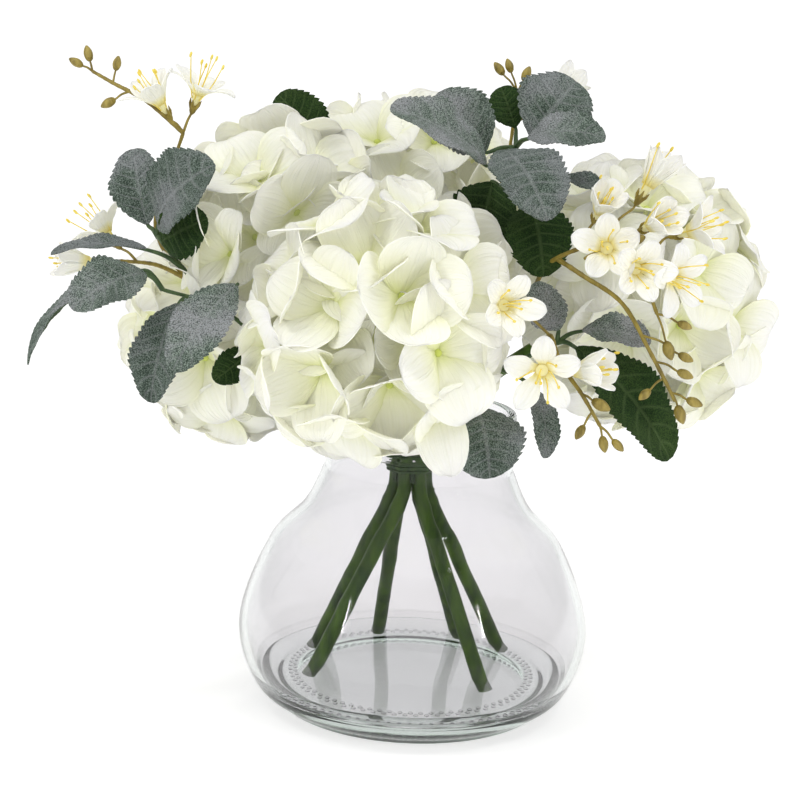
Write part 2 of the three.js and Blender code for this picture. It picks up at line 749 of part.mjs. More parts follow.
// A spray whose `tie` is null starts on top of its own thick stem, or is bound to a leafy stem.
const SPRAYS = {
  right: {
    tie: null,
    line: [
      [38.4, -25, 166.9], [41, -42, 179], [45, -58, 187], [59, -70, 193], [72, -76, 186], [79, -77, 171],
    ],
    forks: [[[45, -58, 187], [54, -66, 182], [67, -72, 174], [78, -75, 157], [88, -73, 140]]],
    blossoms: [
      { from: [52, -64, 191], at: [57, -62, 199], way: [0.1, -0.7, 0.6] },
      { from: [54, -66, 182], at: [58, -72, 184], way: [-0.2, -0.9, 0] },
      { from: [65, -73, 191], at: [73, -74, 195], way: [0.5, -0.7, 0.3] },
      { from: [72, -76, 186], at: [84, -68, 187], way: [0.8, -0.4, 0.2] },
      { from: [67, -72, 174], at: [78, -78, 176], way: [0.5, -0.8, -0.2] },
      { from: [59, -70, 193], at: [72, -60, 206], way: [0.5, -0.1, 0.9] },
    ],
    buds: [
      { from: [79, -77, 171], at: [87, -76, 168] },
      { from: [79, -77, 171], at: [83, -76, 161] },
      { from: [75, -75, 163], at: [88, -76, 157] },
      { from: [80, -75, 154], at: [88, -76, 151] },
      { from: [83, -74, 148], at: [78, -77, 144] },
      { from: [86, -73.5, 143], at: [92, -75, 141] },
      { from: [88, -73, 140.5], at: [89, -73, 138] },
      { from: [62, -71, 192], at: [69, -79, 196] },
    ],
  },
  front: {
    tie: null,
    line: [[43.5, -46, 154.8], [44, -66, 160], [47, -78, 152], [54, -83, 143], [61, -83, 132]],
    forks: [],
    blossoms: [
      { from: [44, -66, 160], at: [32, -88, 168], way: [0.3, -0.9, 0.2] },
      { from: [45, -72, 157], at: [41, -82, 151], way: [-0.1, -1, -0.1] },
      { from: [47, -78, 152], at: [50, -84, 151], way: [0.8, -0.6, 0.1] },
    ],
    buds: [
      { from: [54, -83, 143], at: [58, -84, 141] },
      { from: [58, -83, 137], at: [55, -85, 132] },
      { from: [61, -83, 132], at: [62, -83, 128] },
      { from: [61, -83, 132], at: [66, -83, 127] },
    ],
  },
  left: {
    tie: null,
    line: [
      [-36.4, -21.6, 134], [-58, -32, 152], [-88, -38, 172],
      [-101, -33, 190], [-96, -29, 212], [-92, -28, 225],
    ],
    forks: [
      [[-92, -28, 225], [-106, -26, 236], [-119, -22, 242], [-127, -20, 246]],
      [[-88, -38, 172], [-100, -38, 177], [-113, -38, 178]],
    ],
    blossoms: [
      { from: [-92, -28, 225], at: [-97, -27, 230], way: [-0.5, -0.2, 0.8] },
      { from: [-92, -28, 225], at: [-89, -26, 233], way: [0.4, -0.1, 0.9] },
      { from: [-107, -38, 178], at: [-114, -36, 183], way: [-0.7, 0.1, 0.6] },
      { from: [-113, -38, 178], at: [-118, -40, 177], way: [-0.9, -0.2, 0] },
    ],
    buds: [
      { from: [-127, -20, 246], at: [-131, -20, 248] },
      { from: [-127, -20, 246], at: [-128, -20, 250] },
      { from: [-119, -22, 242], at: [-118, -22, 247] },
      { from: [-113, -24, 239], at: [-118, -25, 236] },
    ],
  },
  top: {
    tie: [90, TIE.innerRing],
    line: [[6, 1, 150], [20, 0, 184], [29, 2, 216], [32, 1, 244]],
    forks: [],
    blossoms: [{ from: [31, 2, 232], at: [44, 4, 238], way: [0.5, 0.4, 0.7] }],
    buds: [
      { from: [32, 1, 244], at: [26, 0, 251] },
      { from: [32, 1, 244], at: [29, 0, 252] },
      { from: [32, 1, 244], at: [34, 0, 249] },
    ],
  },
  back: {
    tie: null,
    line: [[33.2, 34, 152.5], [40, 50, 168], [46, 72, 182], [44, 92, 196]],
    forks: [],
    blossoms: [
      { from: [44, 92, 196], at: [42, 96, 200], way: [-0.1, 0.7, 0.7] },
      { from: [46, 72, 182], at: [28, 96, 186], way: [-0.4, 0.9, 0.2] },
      { from: [46, 72, 182], at: [40, 90, 172], way: [0, 1, -0.3] },
    ],
    buds: [
      { from: [44, 92, 196], at: [48, 98, 200] },
      { from: [46, 72, 182], at: [50, 92, 184] },
    ],
  },
};

const spray = (one) =>
  fuse([...branches(one, BRANCH_RADIUS, 4), ...one.blossoms.map(blossom), ...one.buds.map(bud)]);

// ---------------------------------------------------------------- assembly
const stemLines = Object.fromEntries(
  Object.entries(HEADS).map(([name, head]) => [`stem_${name}_head`, headStemLine(head)]),
);
stemLines.stem_right_spray = stemLine({ foot: [29.5, -23], tieAngle: 305, top: [38, -24, 166] });

const stemBar = (line, extra = 0) => bar(line, STEM_RADIUS + extra, 6, 10);
const stemRoom = Object.values(stemLines).map((line) => stemBar(line, CLEARANCE));
const pickRoom = [
  ...Object.values(LEAFY_STEMS).flatMap((stem) => branches(stem, PICK_RADIUS + CLEARANCE, 4)),
  ...Object.values(SPRAYS).flatMap((one) => branches(one, BRANCH_RADIUS + CLEARANCE, 4)),
];
const clearOf = (shape, room) => largestBody(room.reduce((left, cut) => left.subtract(cut), shape));

addNode("vase", vase(), GLASS);
addNode("water", clearOf(water(), stemRoom), GLASS);
addNode("stem_tie", tie(), STEM_GREEN);
for (const [name, line] of Object.entries(stemLines)) addNode(name, stemBar(line), STEM_GREEN);
for (const name of Object.keys(HEADS)) {
  addNode(`hydrangea_${name}`, clearOf(hydrangea(name), [...stemRoom, ...pickRoom]), WHITE);
}
for (const [name, stem] of Object.entries(LEAFY_STEMS)) {
  addNode(`leafy_stem_${name}`, leafyStem(stem), LEAF_GREY);
}
for (const [name, one] of Object.entries(SPRAYS)) addNode(`spray_${name}`, spray(one), BLOSSOM_CREAM);

export default centrepiece;
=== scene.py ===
# %% [markdown]
# # A floral table centrepiece, dressed in Blender
# The object is a squat glass vase with a little clear set water, six green stems bound with
# tape, five white hydrangea heads, leafy stems with felted grey-green leaves, and sprays of
# small white blossoms. The CAD part gives every piece its place and size. This lesson builds
# a finer piece over each plain solid, in the same frame: metres, +Z up, front at -Y.
#
# First the packed part is loaded. Nothing made here may grow noticeably past it.

# %% Load the frame
import json
import math

import bpy
import numpy as np
from mathutils import Matrix, Vector

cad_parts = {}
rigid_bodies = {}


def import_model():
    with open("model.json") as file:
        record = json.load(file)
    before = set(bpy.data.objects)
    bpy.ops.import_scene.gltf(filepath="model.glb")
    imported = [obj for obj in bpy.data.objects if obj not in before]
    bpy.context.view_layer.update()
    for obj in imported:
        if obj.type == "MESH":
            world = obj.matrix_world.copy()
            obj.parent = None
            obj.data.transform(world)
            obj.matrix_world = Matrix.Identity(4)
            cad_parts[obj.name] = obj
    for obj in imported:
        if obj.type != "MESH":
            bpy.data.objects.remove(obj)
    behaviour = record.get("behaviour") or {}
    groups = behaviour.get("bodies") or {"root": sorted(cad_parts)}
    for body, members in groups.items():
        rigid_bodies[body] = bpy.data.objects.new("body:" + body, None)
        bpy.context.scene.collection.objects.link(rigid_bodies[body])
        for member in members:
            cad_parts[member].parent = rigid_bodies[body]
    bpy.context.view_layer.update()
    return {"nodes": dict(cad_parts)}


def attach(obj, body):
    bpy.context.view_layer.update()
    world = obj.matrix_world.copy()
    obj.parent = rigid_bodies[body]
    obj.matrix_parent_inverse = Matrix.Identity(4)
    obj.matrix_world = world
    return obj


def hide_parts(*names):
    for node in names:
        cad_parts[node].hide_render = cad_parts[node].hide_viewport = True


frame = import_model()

print(len(frame["nodes"]), "CAD nodes")

# %% [markdown]
# ## Measures in millimetres
# The part's own source is written in millimetres, and its places are easier to read that way.
# All points below are in millimetres, and each mesh is scaled to metres once, when it is made.
# `steady` gives the same number between 0 and 1 for the same key in every run, so the
# arrangement looks loose but never changes.

# %% Small helpers for points
MM = 0.001


def steady(key):
    wave = math.sin(key * 12.9898 + 4.1414) * 43758.5453
    return wave - math.floor(wave)


def vec(values):
    return np.asarray(values, float)


def unit(values):
    values = vec(values)
    return values / np.linalg.norm(values)


print("steady(1), steady(2) =", round(steady(1), 3), round(steady(2), 3))

# %% [markdown]
# ## A tray that collects a mesh
# Leaves, petals and branches are all made as numpy arrays of points and four-sided faces. The
# tray collects them with one number per point, such as how far along a petal it lies, and one
# finish per face. A material can read those numbers later, so colour follows the real form.
# Shading is smooth except over edges of more than 60 degrees, so the rim of a thin petal stays
# crisp and doesn't draw a grey line.

# %% The tray
SHARP_ANGLE = math.radians(60)


class Tray:
    def __init__(self, *measures):
        self.points = []
        self.faces = []
        self.finishes = []
        self.count = 0
        self.measures = {name: [] for name in measures}

    def add(self, points, groups, finish=0, **values):
        """`groups` holds lists of faces, and `finish` one finish for all or one for each."""
        points = vec(points).reshape(-1, 3)
        self.points.append(points)
        finishes = finish if isinstance(finish, tuple) else (finish,) * len(groups)
        for group, number in zip(groups, finishes):
            self.faces += [tuple(int(i) + self.count for i in face) for face in group]
            self.finishes += [number] * len(group)
        self.count += len(points)
        for name, kept in self.measures.items():
            value = np.asarray(values.get(name, 0.0), float)
            kept.append(np.broadcast_to(value.reshape(-1), len(points)))

    def mesh(self, name, materials):
        made = bpy.data.meshes.new(name)
        made.from_pydata((np.concatenate(self.points) * MM).tolist(), [], self.faces)
        made.polygons.foreach_set("material_index", self.finishes)
        made.polygons.foreach_set("use_smooth", [True] * len(made.polygons))
        for label, kept in self.measures.items():
            attribute = made.attributes.new(label, "FLOAT", "POINT")
            attribute.data.foreach_set("value", np.concatenate(kept))
        for material in materials:
            made.materials.append(material)
        made.update()
        made.set_sharp_from_angle(angle=SHARP_ANGLE)
        return made

    def piece(self, name, materials):
        made = bpy.data.objects.new(name, self.mesh(name, materials))
        bpy.context.scene.collection.objects.link(made)
        return made


print("a petal's tray measures", " and ".join(Tray("reach", "strand").measures))

# %% [markdown]
# ## Two shapes that everything is made of
# A `shell` is a thin closed sheet: a grid of points on its upper side, the same grid moved
# down by the thickness, and a strip round the rim. Petals and leaves are shells. A `tube` is a
# row of rings along a path, closed at both ends. Stalks, filaments and branches are tubes.

# %% Shell
def shell(top, thickness):
    """Points and faces of a closed sheet under a (rows, columns, 3) grid that faces up."""
    rows, columns = top.shape[:2]
    along = np.gradient(top, axis=0)
    across = np.gradient(top, axis=1)
    normal = np.cross(along, across)
    normal /= np.maximum(np.linalg.norm(normal, axis=2, keepdims=True), 1e-9)
    bottom = top - normal * thickness
    number = np.arange(rows * columns).reshape(rows, columns)
    under = number + rows * columns
    a, b, c, d = number[:-1, :-1], number[1:, :-1], number[1:, 1:], number[:-1, 1:]
    upper = np.stack([a, b, c, d], -1).reshape(-1, 4)
    lower = np.stack([d, c, b, a], -1).reshape(-1, 4) + rows * columns
    rim = np.concatenate([number[:, 0], number[-1, 1:], number[-2::-1, -1], number[0, -2:0:-1]])
    under_rim = np.concatenate([under[:, 0], under[-1, 1:], under[-2::-1, -1], under[0, -2:0:-1]])
    edge = np.stack([rim, under_rim, np.roll(under_rim, -1), np.roll(rim, -1)], -1)
    points = np.concatenate([top.reshape(-1, 3), bottom.reshape(-1, 3)])
    return points, [upper, lower, edge]


flat = np.array([[[0, 0, 0], [0, 1, 0]], [[1, 0, 0], [1, 1, 0]]], float)
print("a shell under one square has", sum(len(group) for group in shell(flat, 0.1)[1]), "faces")

# %% Tube
ODD_WAY = (0.31, 0.59, 0.74)  # no path here starts along it


def tube(path, radii, sides):
    """Points and faces of a closed round bar along `path`, one radius for each of its points."""
    path = vec(path)
    radii = np.broadcast_to(np.asarray(radii, float), len(path))
    ways = np.gradient(path, axis=0)
    ways /= np.linalg.norm(ways, axis=1, keepdims=True)
    side = np.cross(ways[0], ODD_WAY)
    rings = []
    angles = 2 * math.pi * np.arange(sides) / sides
    for centre, way, radius in zip(path, ways, radii):
        side = unit(side - way * (side @ way))
        up = np.cross(way, side)
        ring = np.cos(angles)[:, None] * side + np.sin(angles)[:, None] * up
        rings.append(centre + radius * ring)
    points = np.concatenate(rings)
    faces = []
    for k in range(len(path) - 1):
        for j in range(sides):
            a, b = k * sides + j, k * sides + (j + 1) % sides
            faces.append((a, b, b + sides, a + sides))
    last = (len(path) - 1) * sides
    faces.append(tuple(range(sides - 1, -1, -1)))
    faces.append(tuple(range(last, last + sides)))
    return points, [faces]


def smooth_path(points, count):
    """`count` points on a smooth curve through `points`, with no overshoot at uneven steps."""
    points = vec(points)
    ends = [2 * points[0] - points[1], *points, 2 * points[-1] - points[-2]]
    knots = np.cumsum([0] + [math.sqrt(np.linalg.norm(b - a)) for a, b in zip(ends, ends[1:])])
    out = []
    for at in np.linspace(knots[1], knots[-2], count):
        k = min(max(int(np.searchsorted(knots, at)) - 1, 1), len(ends) - 3)
        p0, p1, p2, p3 = ends[k - 1 : k + 3]
        t0, t1, t2, t3 = knots[k - 1 : k + 3]
        a1 = (t1 - at) / (t1 - t0) * p0 + (at - t0) / (t1 - t0) * p1
        a2 = (t2 - at) / (t2 - t1) * p1 + (at - t1) / (t2 - t1) * p2
        a3 = (t3 - at) / (t3 - t2) * p2 + (at - t2) / (t3 - t2) * p3
        b1 = (t2 - at) / (t2 - t0) * a1 + (at - t0) / (t2 - t0) * a2
        b2 = (t3 - at) / (t3 - t1) * a2 + (at - t1) / (t3 - t1) * a3
        out.append((t2 - at) / (t2 - t1) * b1 + (at - t1) / (t2 - t1) * b2)
    return np.array(out)


SHORT_PATH = [[0, 0, 0], [0, 0, 1], [0, 0, 2]]
print("a tube of 3 rings with 8 sides has", len(tube(SHORT_PATH, 1, 8)[1][0]), "faces")

# %% [markdown]
# ## Writing a tree of nodes in code
# Materials and Geometry Nodes are both trees of nodes, so they share one small helper. `add`
# makes a node and sets its properties, and `feed` gives an input either another node's output
# or a plain value. A long tree stays readable that way, where dragging nodes by hand, or one
# line of code for every link, would not.

# %% A helper for node trees
class NodeTree:
    def __init__(self, tree):
        self.tree = tree

    def feed(self, socket, value):
        if isinstance(value, bpy.types.NodeSocket):
            self.tree.links.new(value, socket)
        else:
            socket.default_value = value

    def add(self, kind, inputs=None, **settings):
        node = self.tree.nodes.new(kind)
        for key, value in settings.items():
            setattr(node, key, value)
        for key, value in (inputs or {}).items():
            self.feed(node.inputs[key], value)
        return node


print("every tree here can", " and ".join(key for key in vars(NodeTree) if key[0] != "_"))

# %% [markdown]
# A material recipe knows the few steps that the cloth, the felt and the plastic need: noise, a
# colour ramp, a mix of two colours, a sum and a bump. Numbers that hold for the whole surface
# are set on the shader itself, by `finish`.

# %% A helper for material recipes
COLOUR_MIX = {"factor": 0, "first": 6, "second": 7, "result": 2}  # a mix node's colour sockets


class Recipe(NodeTree):
    def __init__(self, name):
        self.material = bpy.data.materials.new(name)
        self.material.use_nodes = True
        super().__init__(self.material.node_tree)
        self.shader = self.tree.nodes["Principled BSDF"]

    def finish(self, **values):
        for key, value in values.items():
            self.shader.inputs[key.replace("_", " ")].default_value = value

    def measure(self, name):
        return self.add("ShaderNodeAttribute", attribute_name=name).outputs["Fac"]

    def place(self, scale):
        """Object coordinates in metres, scaled."""
        where = self.add("ShaderNodeTexCoord").outputs["Object"]
        scaled = self.add("ShaderNodeVectorMath", {0: where, "Scale": scale}, operation="SCALE")
        return scaled.outputs["Vector"]

    def noise(self, vector, detail):
        inputs = {"Vector": vector, "Scale": 1.0, "Detail": detail}
        return self.add("ShaderNodeTexNoise", inputs).outputs["Fac"]

    def ramp(self, factor, stops):
        node = self.add("ShaderNodeValToRGB", {"Fac": factor})
        elements = node.color_ramp.elements
        while len(elements) < len(stops):
            elements.new(0.5)
        for element, (at, colour) in zip(elements, stops):
            element.position = at
            element.color = (*colour, 1)
        return node.outputs["Color"]

    def mix(self, factor, first, second, blend="MIX"):
        """Mixes two colours, each a plain one or a node's output."""
        inputs = {COLOUR_MIX["factor"]: factor}
        for label, colour in (("first", first), ("second", second)):
            is_plain = isinstance(colour, tuple)
            inputs[COLOUR_MIX[label]] = (*colour, 1) if is_plain else colour
        node = self.add("ShaderNodeMix", inputs, data_type="RGBA", blend_type=blend)
        return node.outputs[COLOUR_MIX["result"]]

    def maths(self, operation, first, second=0.0):
        return self.add("ShaderNodeMath", {0: first, 1: second}, operation=operation).outputs[0]

    def colour(self, colour):
        self.feed(self.shader.inputs["Base Color"], colour)

    def bump(self, height, strength, distance):
        inputs = {"Height": height, "Strength": strength, "Distance": distance}
        self.feed(self.shader.inputs["Normal"], self.add("ShaderNodeBump", inputs).outputs["Normal"])


print("steps of a recipe:", ", ".join(key for key in vars(Recipe) if key[0] != "_"))

# %% [markdown]
# ## Petals
# The petals are thin printed cloth: ivory, with a pale green blush and a lime dot where the
# four of them meet, and fine lengthwise veins. Light passes through such cloth, so its shaded
# side is never dark. Many bounces of light would show that, slowly; a little scattering under
# the surface and a faint glow, about a twentieth of white, stand in for them at no cost.
#
# `reach` runs from 0 at the middle of a floret to 1 at the petal's rim, and `strand` runs
# across each petal, so noise that is stretched along `reach` gives veins that follow every
# petal. `tone` differs from one floret to the next.

# %% Petal cloth
WHITE, BLACK = (1.0,) * 3, (0.0,) * 3


def vein_lines(recipe, across, along):
    """Noise that is fine across a petal and drawn out along it."""
    inputs = {
        "X": recipe.maths("MULTIPLY", recipe.measure("strand"), across),
        "Y": recipe.maths("MULTIPLY", recipe.measure("reach"), along),
        "Z": recipe.measure("tone"),
    }
    return recipe.noise(recipe.add("ShaderNodeCombineXYZ", inputs).outputs["Vector"], detail=2.0)


def petal_cloth(name, stops, warm):
    recipe = Recipe(name)
    by_reach = recipe.ramp(recipe.measure("reach"), stops)
    veins = vein_lines(recipe, across=12.0, along=1.1)
    share = recipe.ramp(veins, [(0.38, BLACK), (0.62, WHITE)])
    veined = recipe.mix(share, (0.97, 0.97, 0.94), WHITE)
    coloured = recipe.mix(1.0, by_reach, veined, "MULTIPLY")
    toned = recipe.mix(recipe.measure("tone"), WHITE, warm)
    recipe.colour(recipe.mix(1.0, coloured, toned, "MULTIPLY"))
    recipe.bump(veins, strength=0.9, distance=0.0007)
    recipe.finish(Roughness=0.62, Sheen_Weight=0.12, Specular_IOR_Level=0.3)
    recipe.finish(Subsurface_Weight=0.3, Subsurface_Scale=0.004, Subsurface_Radius=(1.0, 0.95, 0.7))
    recipe.finish(Emission_Color=(1.0, 0.99, 0.95, 1.0), Emission_Strength=0.05)
    return recipe.material


# Stops of a ramp along `reach`: how far out, and the colour there.
HYDRANGEA_STOPS = [
    (0.01, (0.52, 0.60, 0.08)),
    (0.06, (0.78, 0.82, 0.30)),
    (0.24, (0.92, 0.925, 0.64)),
    (0.55, (0.95, 0.945, 0.83)),
    (0.92, (0.955, 0.945, 0.91)),
]
BLOSSOM_STOPS = [
    (0.0, (0.86, 0.68, 0.10)),
    (0.14, (0.92, 0.84, 0.36)),
    (0.32, (0.95, 0.95, 0.86)),
    (1.0, (0.97, 0.97, 0.96)),
]
hydrangea_cloth = petal_cloth("hydrangea_petal_cloth", HYDRANGEA_STOPS, (0.985, 0.99, 0.93))
blossom_cloth = petal_cloth("blossom_petal_cloth", BLOSSOM_STOPS, (1.0, 1.0, 0.98))
print("petal materials:", hydrangea_cloth.name, blossom_cloth.name)

# %% [markdown]
# ## Leaves
# A leaf has two faces. The upper one is flocked: grey-green felt, dusty and mottled, with pale
# veins. The under one is plain dark green cloth. `along` runs from root to tip and `across`
# from edge to edge, so a few sums give the side veins: lines that leave the midrib at even
# steps and slant towards the tip. Noise in two sizes makes the mottling, and the nap of the
# felt is a very fine bump.

# %% Felt and leaf back
VEINS = 7.5  # steps of the side veins along a leaf
VEIN_SLANT, VEIN_BOW = 0.17, 1.25  # how far they run on towards the tip, and how they bend


def vein_share(recipe):
    """1 on the midrib and the side veins, 0 between them."""
    side = recipe.maths("ABSOLUTE", recipe.measure("across"))
    slant = recipe.maths("MULTIPLY", recipe.maths("POWER", side, VEIN_BOW), VEIN_SLANT)
    phase = recipe.maths("MULTIPLY", recipe.maths("SUBTRACT", recipe.measure("along"), slant), VEINS)
    step = recipe.maths("FRACT", phase)
    from_vein = recipe.maths("ABSOLUTE", recipe.maths("SUBTRACT", step, 0.5))
    side_veins = recipe.ramp(from_vein, [(0.0, WHITE), (0.16, BLACK)])
    faded = recipe.maths("MULTIPLY", side_veins, recipe.ramp(side, [(0.3, WHITE), (1.0, (0.25,) * 3)]))
    midrib = recipe.ramp(side, [(0.015, WHITE), (0.085, BLACK)])
    return recipe.maths("MAXIMUM", faded, midrib)


def leaf_face(name, dark, light, vein_colour, vein_weight, nap, sheen, roughness):
    recipe = Recipe(name)
    broad = recipe.noise(recipe.place(60.0), detail=4.0)
    fine = recipe.noise(recipe.place(2400.0), detail=3.0)
    dust = recipe.maths("ADD", recipe.maths("MULTIPLY", broad, 0.3), recipe.maths("MULTIPLY", fine, 0.7))
    base = recipe.ramp(dust, [(0.42, dark), (0.58, light)])
    green = recipe.ramp(broad, [(0.42, (0.86, 1.0, 0.84)), (0.60, WHITE)])
    tinted = recipe.mix(1.0, base, green, "MULTIPLY")
    hued = recipe.mix(recipe.measure("hue"), (0.74, 0.78, 0.76), (1.12, 1.12, 1.12))
    shaded = recipe.mix(1.0, tinted, hued, "MULTIPLY")
    veins = vein_share(recipe)
    recipe.colour(recipe.mix(recipe.maths("MULTIPLY", veins, vein_weight), shaded, vein_colour))
    height = recipe.maths("ADD", recipe.maths("MULTIPLY", fine, 0.5), recipe.maths("MULTIPLY", veins, 0.5))
    recipe.bump(height, strength=nap, distance=0.0005)
    recipe.finish(Roughness=roughness, Specular_IOR_Level=0.2)
    recipe.finish(Sheen_Weight=sheen, Sheen_Roughness=0.5, Sheen_Tint=(0.85, 0.92, 0.90, 1.0))
    return recipe.material


leaf_felt = leaf_face(
    "leaf_felt", (0.044, 0.055, 0.050), (0.278, 0.290, 0.294), (0.42, 0.43, 0.44),
    vein_weight=0.25, nap=1.0, sheen=0.12, roughness=0.95,
)
leaf_back = leaf_face(
    "leaf_back", (0.007, 0.022, 0.004), (0.034, 0.066, 0.014), (0.09, 0.14, 0.05),
    vein_weight=0.4, nap=0.6, sheen=0.03, roughness=0.8,
)
print("leaf materials:", leaf_felt.name, leaf_back.name)

# %% [markdown]
# ## Stalks, buds and tape
# The plastic of the stalks is moulded in two close colours with a grain that runs upwards. One
# recipe with other colours serves stems, twigs, buds, stamens and the tape.

# %% Moulded plastic
def moulded_plastic(name, dark, light, grain, roughness, bump):
    """Two close colours in a grain, of `grain` waves a metre, that is stretched along Z."""
    recipe = Recipe(name)
    where = recipe.add("ShaderNodeTexCoord").outputs["Object"]
    stretch = (grain, grain, grain * 0.25)
    stretched = recipe.add("ShaderNodeMapping", {"Vector": where, "Scale": stretch})
    grained = recipe.noise(stretched.outputs["Vector"], detail=4.0)
    recipe.colour(recipe.ramp(grained, [(0.32, dark), (0.66, light)]))
    recipe.bump(grained, strength=bump, distance=0.0006)
    recipe.finish(Roughness=roughness, Specular_IOR_Level=0.45)
    return recipe.material


# Each row gives the dark and the light colour, the grain, the roughness and the bump.
leaf_stalk = moulded_plastic("leaf_stalk", (0.025, 0.060, 0.018), (0.07, 0.12, 0.04), 300.0, 0.6, 0.3)
stem_green = moulded_plastic("stem_green", (0.020, 0.060, 0.002), (0.075, 0.160, 0.006), 260.0, 0.42, 0.5)
olive_twig = moulded_plastic("olive_twig", (0.16, 0.115, 0.014), (0.34, 0.26, 0.045), 350.0, 0.5, 0.3)
bud_gold = moulded_plastic("bud_gold", (0.17, 0.125, 0.018), (0.40, 0.31, 0.07), 500.0, 0.45, 0.2)
stamen_yellow = moulded_plastic("stamen_yellow", (0.80, 0.58, 0.04), (0.93, 0.78, 0.18), 400.0, 0.6, 0.1)
tape_green = moulded_plastic("tape_green", (0.024, 0.065, 0.012), (0.070, 0.140, 0.030), 700.0, 0.6, 0.6)
print("plastics:", ", ".join(made.name for made in (leaf_stalk, stem_green, olive_twig, bud_gold)))

# %% [markdown]
# ## Clear glass and clear water
# Clear glass is one shader: full transmission, no roughness and an index of refraction of
# about 1.5. Pressed bottle glass is faintly green where one looks along its wall. That colour
# comes from inside: a little red light is lost on every centimetre of the way through, so a
# thin wall stays clear and a long way through the rim or the base turns green. Waves in the
# wall come from a very low bump.
#
# The water bends light less than real water does, because a renderer gives up on light that is
# caught between its surface and the base, and draws a black ring there; a clear coat keeps its
# shine. The mirror image that a glass wall throws straight back is toned down, as a
# photographer's filter does, so the stems behind it keep their green.

# %% Glass and water
def clear(name, surface, inside, density, ior, wave, coat):
    """`surface` tints what passes the wall, and `inside` what travels far through it."""
    recipe = Recipe(name)
    absorbed = recipe.add("ShaderNodeVolumeAbsorption", {"Color": (*inside, 1), "Density": density})
    recipe.feed(recipe.tree.nodes["Material Output"].inputs["Volume"], absorbed.outputs["Volume"])
    recipe.bump(recipe.noise(recipe.place(22.0), detail=1.0), strength=wave, distance=0.002)
    recipe.finish(Transmission_Weight=1.0, Roughness=0.0, IOR=ior, Base_Color=(*surface, 1.0))
    recipe.finish(Specular_Tint=(0.28, 0.28, 0.28, 1.0), Coat_Weight=coat, Coat_IOR=1.33)
    return recipe.material


vase_glass = clear(
    "pressed_glass", (0.89, 0.864, 0.89), (0.30, 0.85, 0.50), density=11.0, ior=1.46, wave=0.12, coat=0.0
)
set_water = clear(
    "set_water", WHITE, (0.85, 0.90, 0.85), density=2.0, ior=1.10, wave=0.05, coat=1.0
)
print("clear materials:", vase_glass.name, set_water.name)

# %% [markdown]
# ## Handing a piece over to the frame
# Each finished piece rides on the part's one body and hides the CAD node that it stands for.
# A Geometry Nodes result is first turned into a plain mesh: `settle` evaluates the object,
# copies what came out and throws the modifier away.

# %% Hand over and settle
def hand_over(piece, slot, *nodes):
    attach(piece, "root")
    if nodes:
        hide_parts(*nodes)
    triangles = sum(len(face.vertices) - 2 for face in piece.data.polygons)
    print(f"{piece.name}: {triangles} triangles, stands for {', '.join(nodes) or 'no node'}")


def settle(source, name):
    bpy.context.view_layer.update()
    evaluated = source.evaluated_get(bpy.context.evaluated_depsgraph_get())
    mesh = bpy.data.meshes.new_from_object(evaluated)
    bpy.data.objects.remove(source)
    mesh.name = name
    made = bpy.data.objects.new(name, mesh)
    bpy.context.scene.collection.objects.link(made)
    return made


def joined(pieces, name):
    """Several mesh objects as one, each keeping its own materials."""
    first = pieces[0]
    with bpy.context.temp_override(active_object=first, selected_editable_objects=pieces):
        bpy.ops.object.join()
    first.name = name
    first.data.name = name
    return first


# %% [markdown]
# ## The vase
# The real vase is pressed glass: a wide bulb on a flat foot, a narrow neck and a lip with a
# few fine threads. A shape like that is a lathe: one profile turned about the upright axis.
# Its profile here is a smooth curve through the same six points that drive the CAD vase, with
# an inner wall one wall's thickness inside it, so the glass has a real inside to refract.

# %% Lathe
def lathe(profile, segments):
    """A closed body turned from (radius, z) pairs that start and end on the axis."""
    angles = 2 * math.pi * np.arange(segments) / segments
    rows = vec(profile[1:-1])
    circle = np.stack([np.cos(angles), np.sin(angles)], -1)
    rings = [np.column_stack([circle * radius, np.full(segments, z)]) for radius, z in rows]
    poles = [[0, 0, profile[0][1]], [0, 0, profile[-1][1]]]
    points = np.concatenate(rings + [vec(poles)])
    faces = []
    for k in range(len(rows) - 1):
        for j in range(segments):
            a, b = k * segments + j, k * segments + (j + 1) % segments
            faces.append((a, b, b + segments, a + segments))
    first, last, top = len(points) - 2, len(points) - 1, (len(rows) - 1) * segments
    for j in range(segments):
        after = (j + 1) % segments
        faces.append((first, after, j))
        faces.append((last, top + j, top + after))
    return points, [faces]


VASE = {"wall": 3.0, "floor": 8.0, "corner": 3.5, "neck": 37.5}
WALL_POINTS = [[50, 0], [64, 10], [70, 34], [59, 65], [45, 81], [37.5, 97]]


def uniform_curve(points, per_span):
    """The same even curve through points that turns the CAD wall."""
    points = vec(points)
    ends = np.vstack([points[0], points, points[-1]])
    out = []
    for k in range(len(points) - 1):
        p0, p1, p2, p3 = ends[k : k + 4]
        for t in np.arange(per_span) / per_span:
            m1, m2 = (p2 - p0) / 2, (p3 - p1) / 2
            a = (2 * t**3 - 3 * t**2 + 1) * p1 + (t**3 - 2 * t**2 + t) * m1
            out.append(a + (-2 * t**3 + 3 * t**2) * p2 + (t**3 - t**2) * m2)
    return np.array(out + [points[-1]])


outer_wall = uniform_curve(WALL_POINTS, 14)
slope = np.gradient(outer_wall, axis=0)
slope /= np.linalg.norm(slope, axis=1, keepdims=True)
inner_wall = outer_wall + VASE["wall"] * np.column_stack([-slope[:, 1], slope[:, 0]])
inner_wall = inner_wall[inner_wall[:, 1] > VASE["floor"] + VASE["corner"]]
print("outer wall:", len(outer_wall), "points, inner wall:", len(inner_wall))

# %% [markdown]
# The lip carries a shallow screw-like thread: three low ridges below a rounded edge. The heel
# and the inside corner of the floor are rounded, as pressed glass always is, and the bottom
# is pushed up a little in the middle, so the vase rests on a ring.

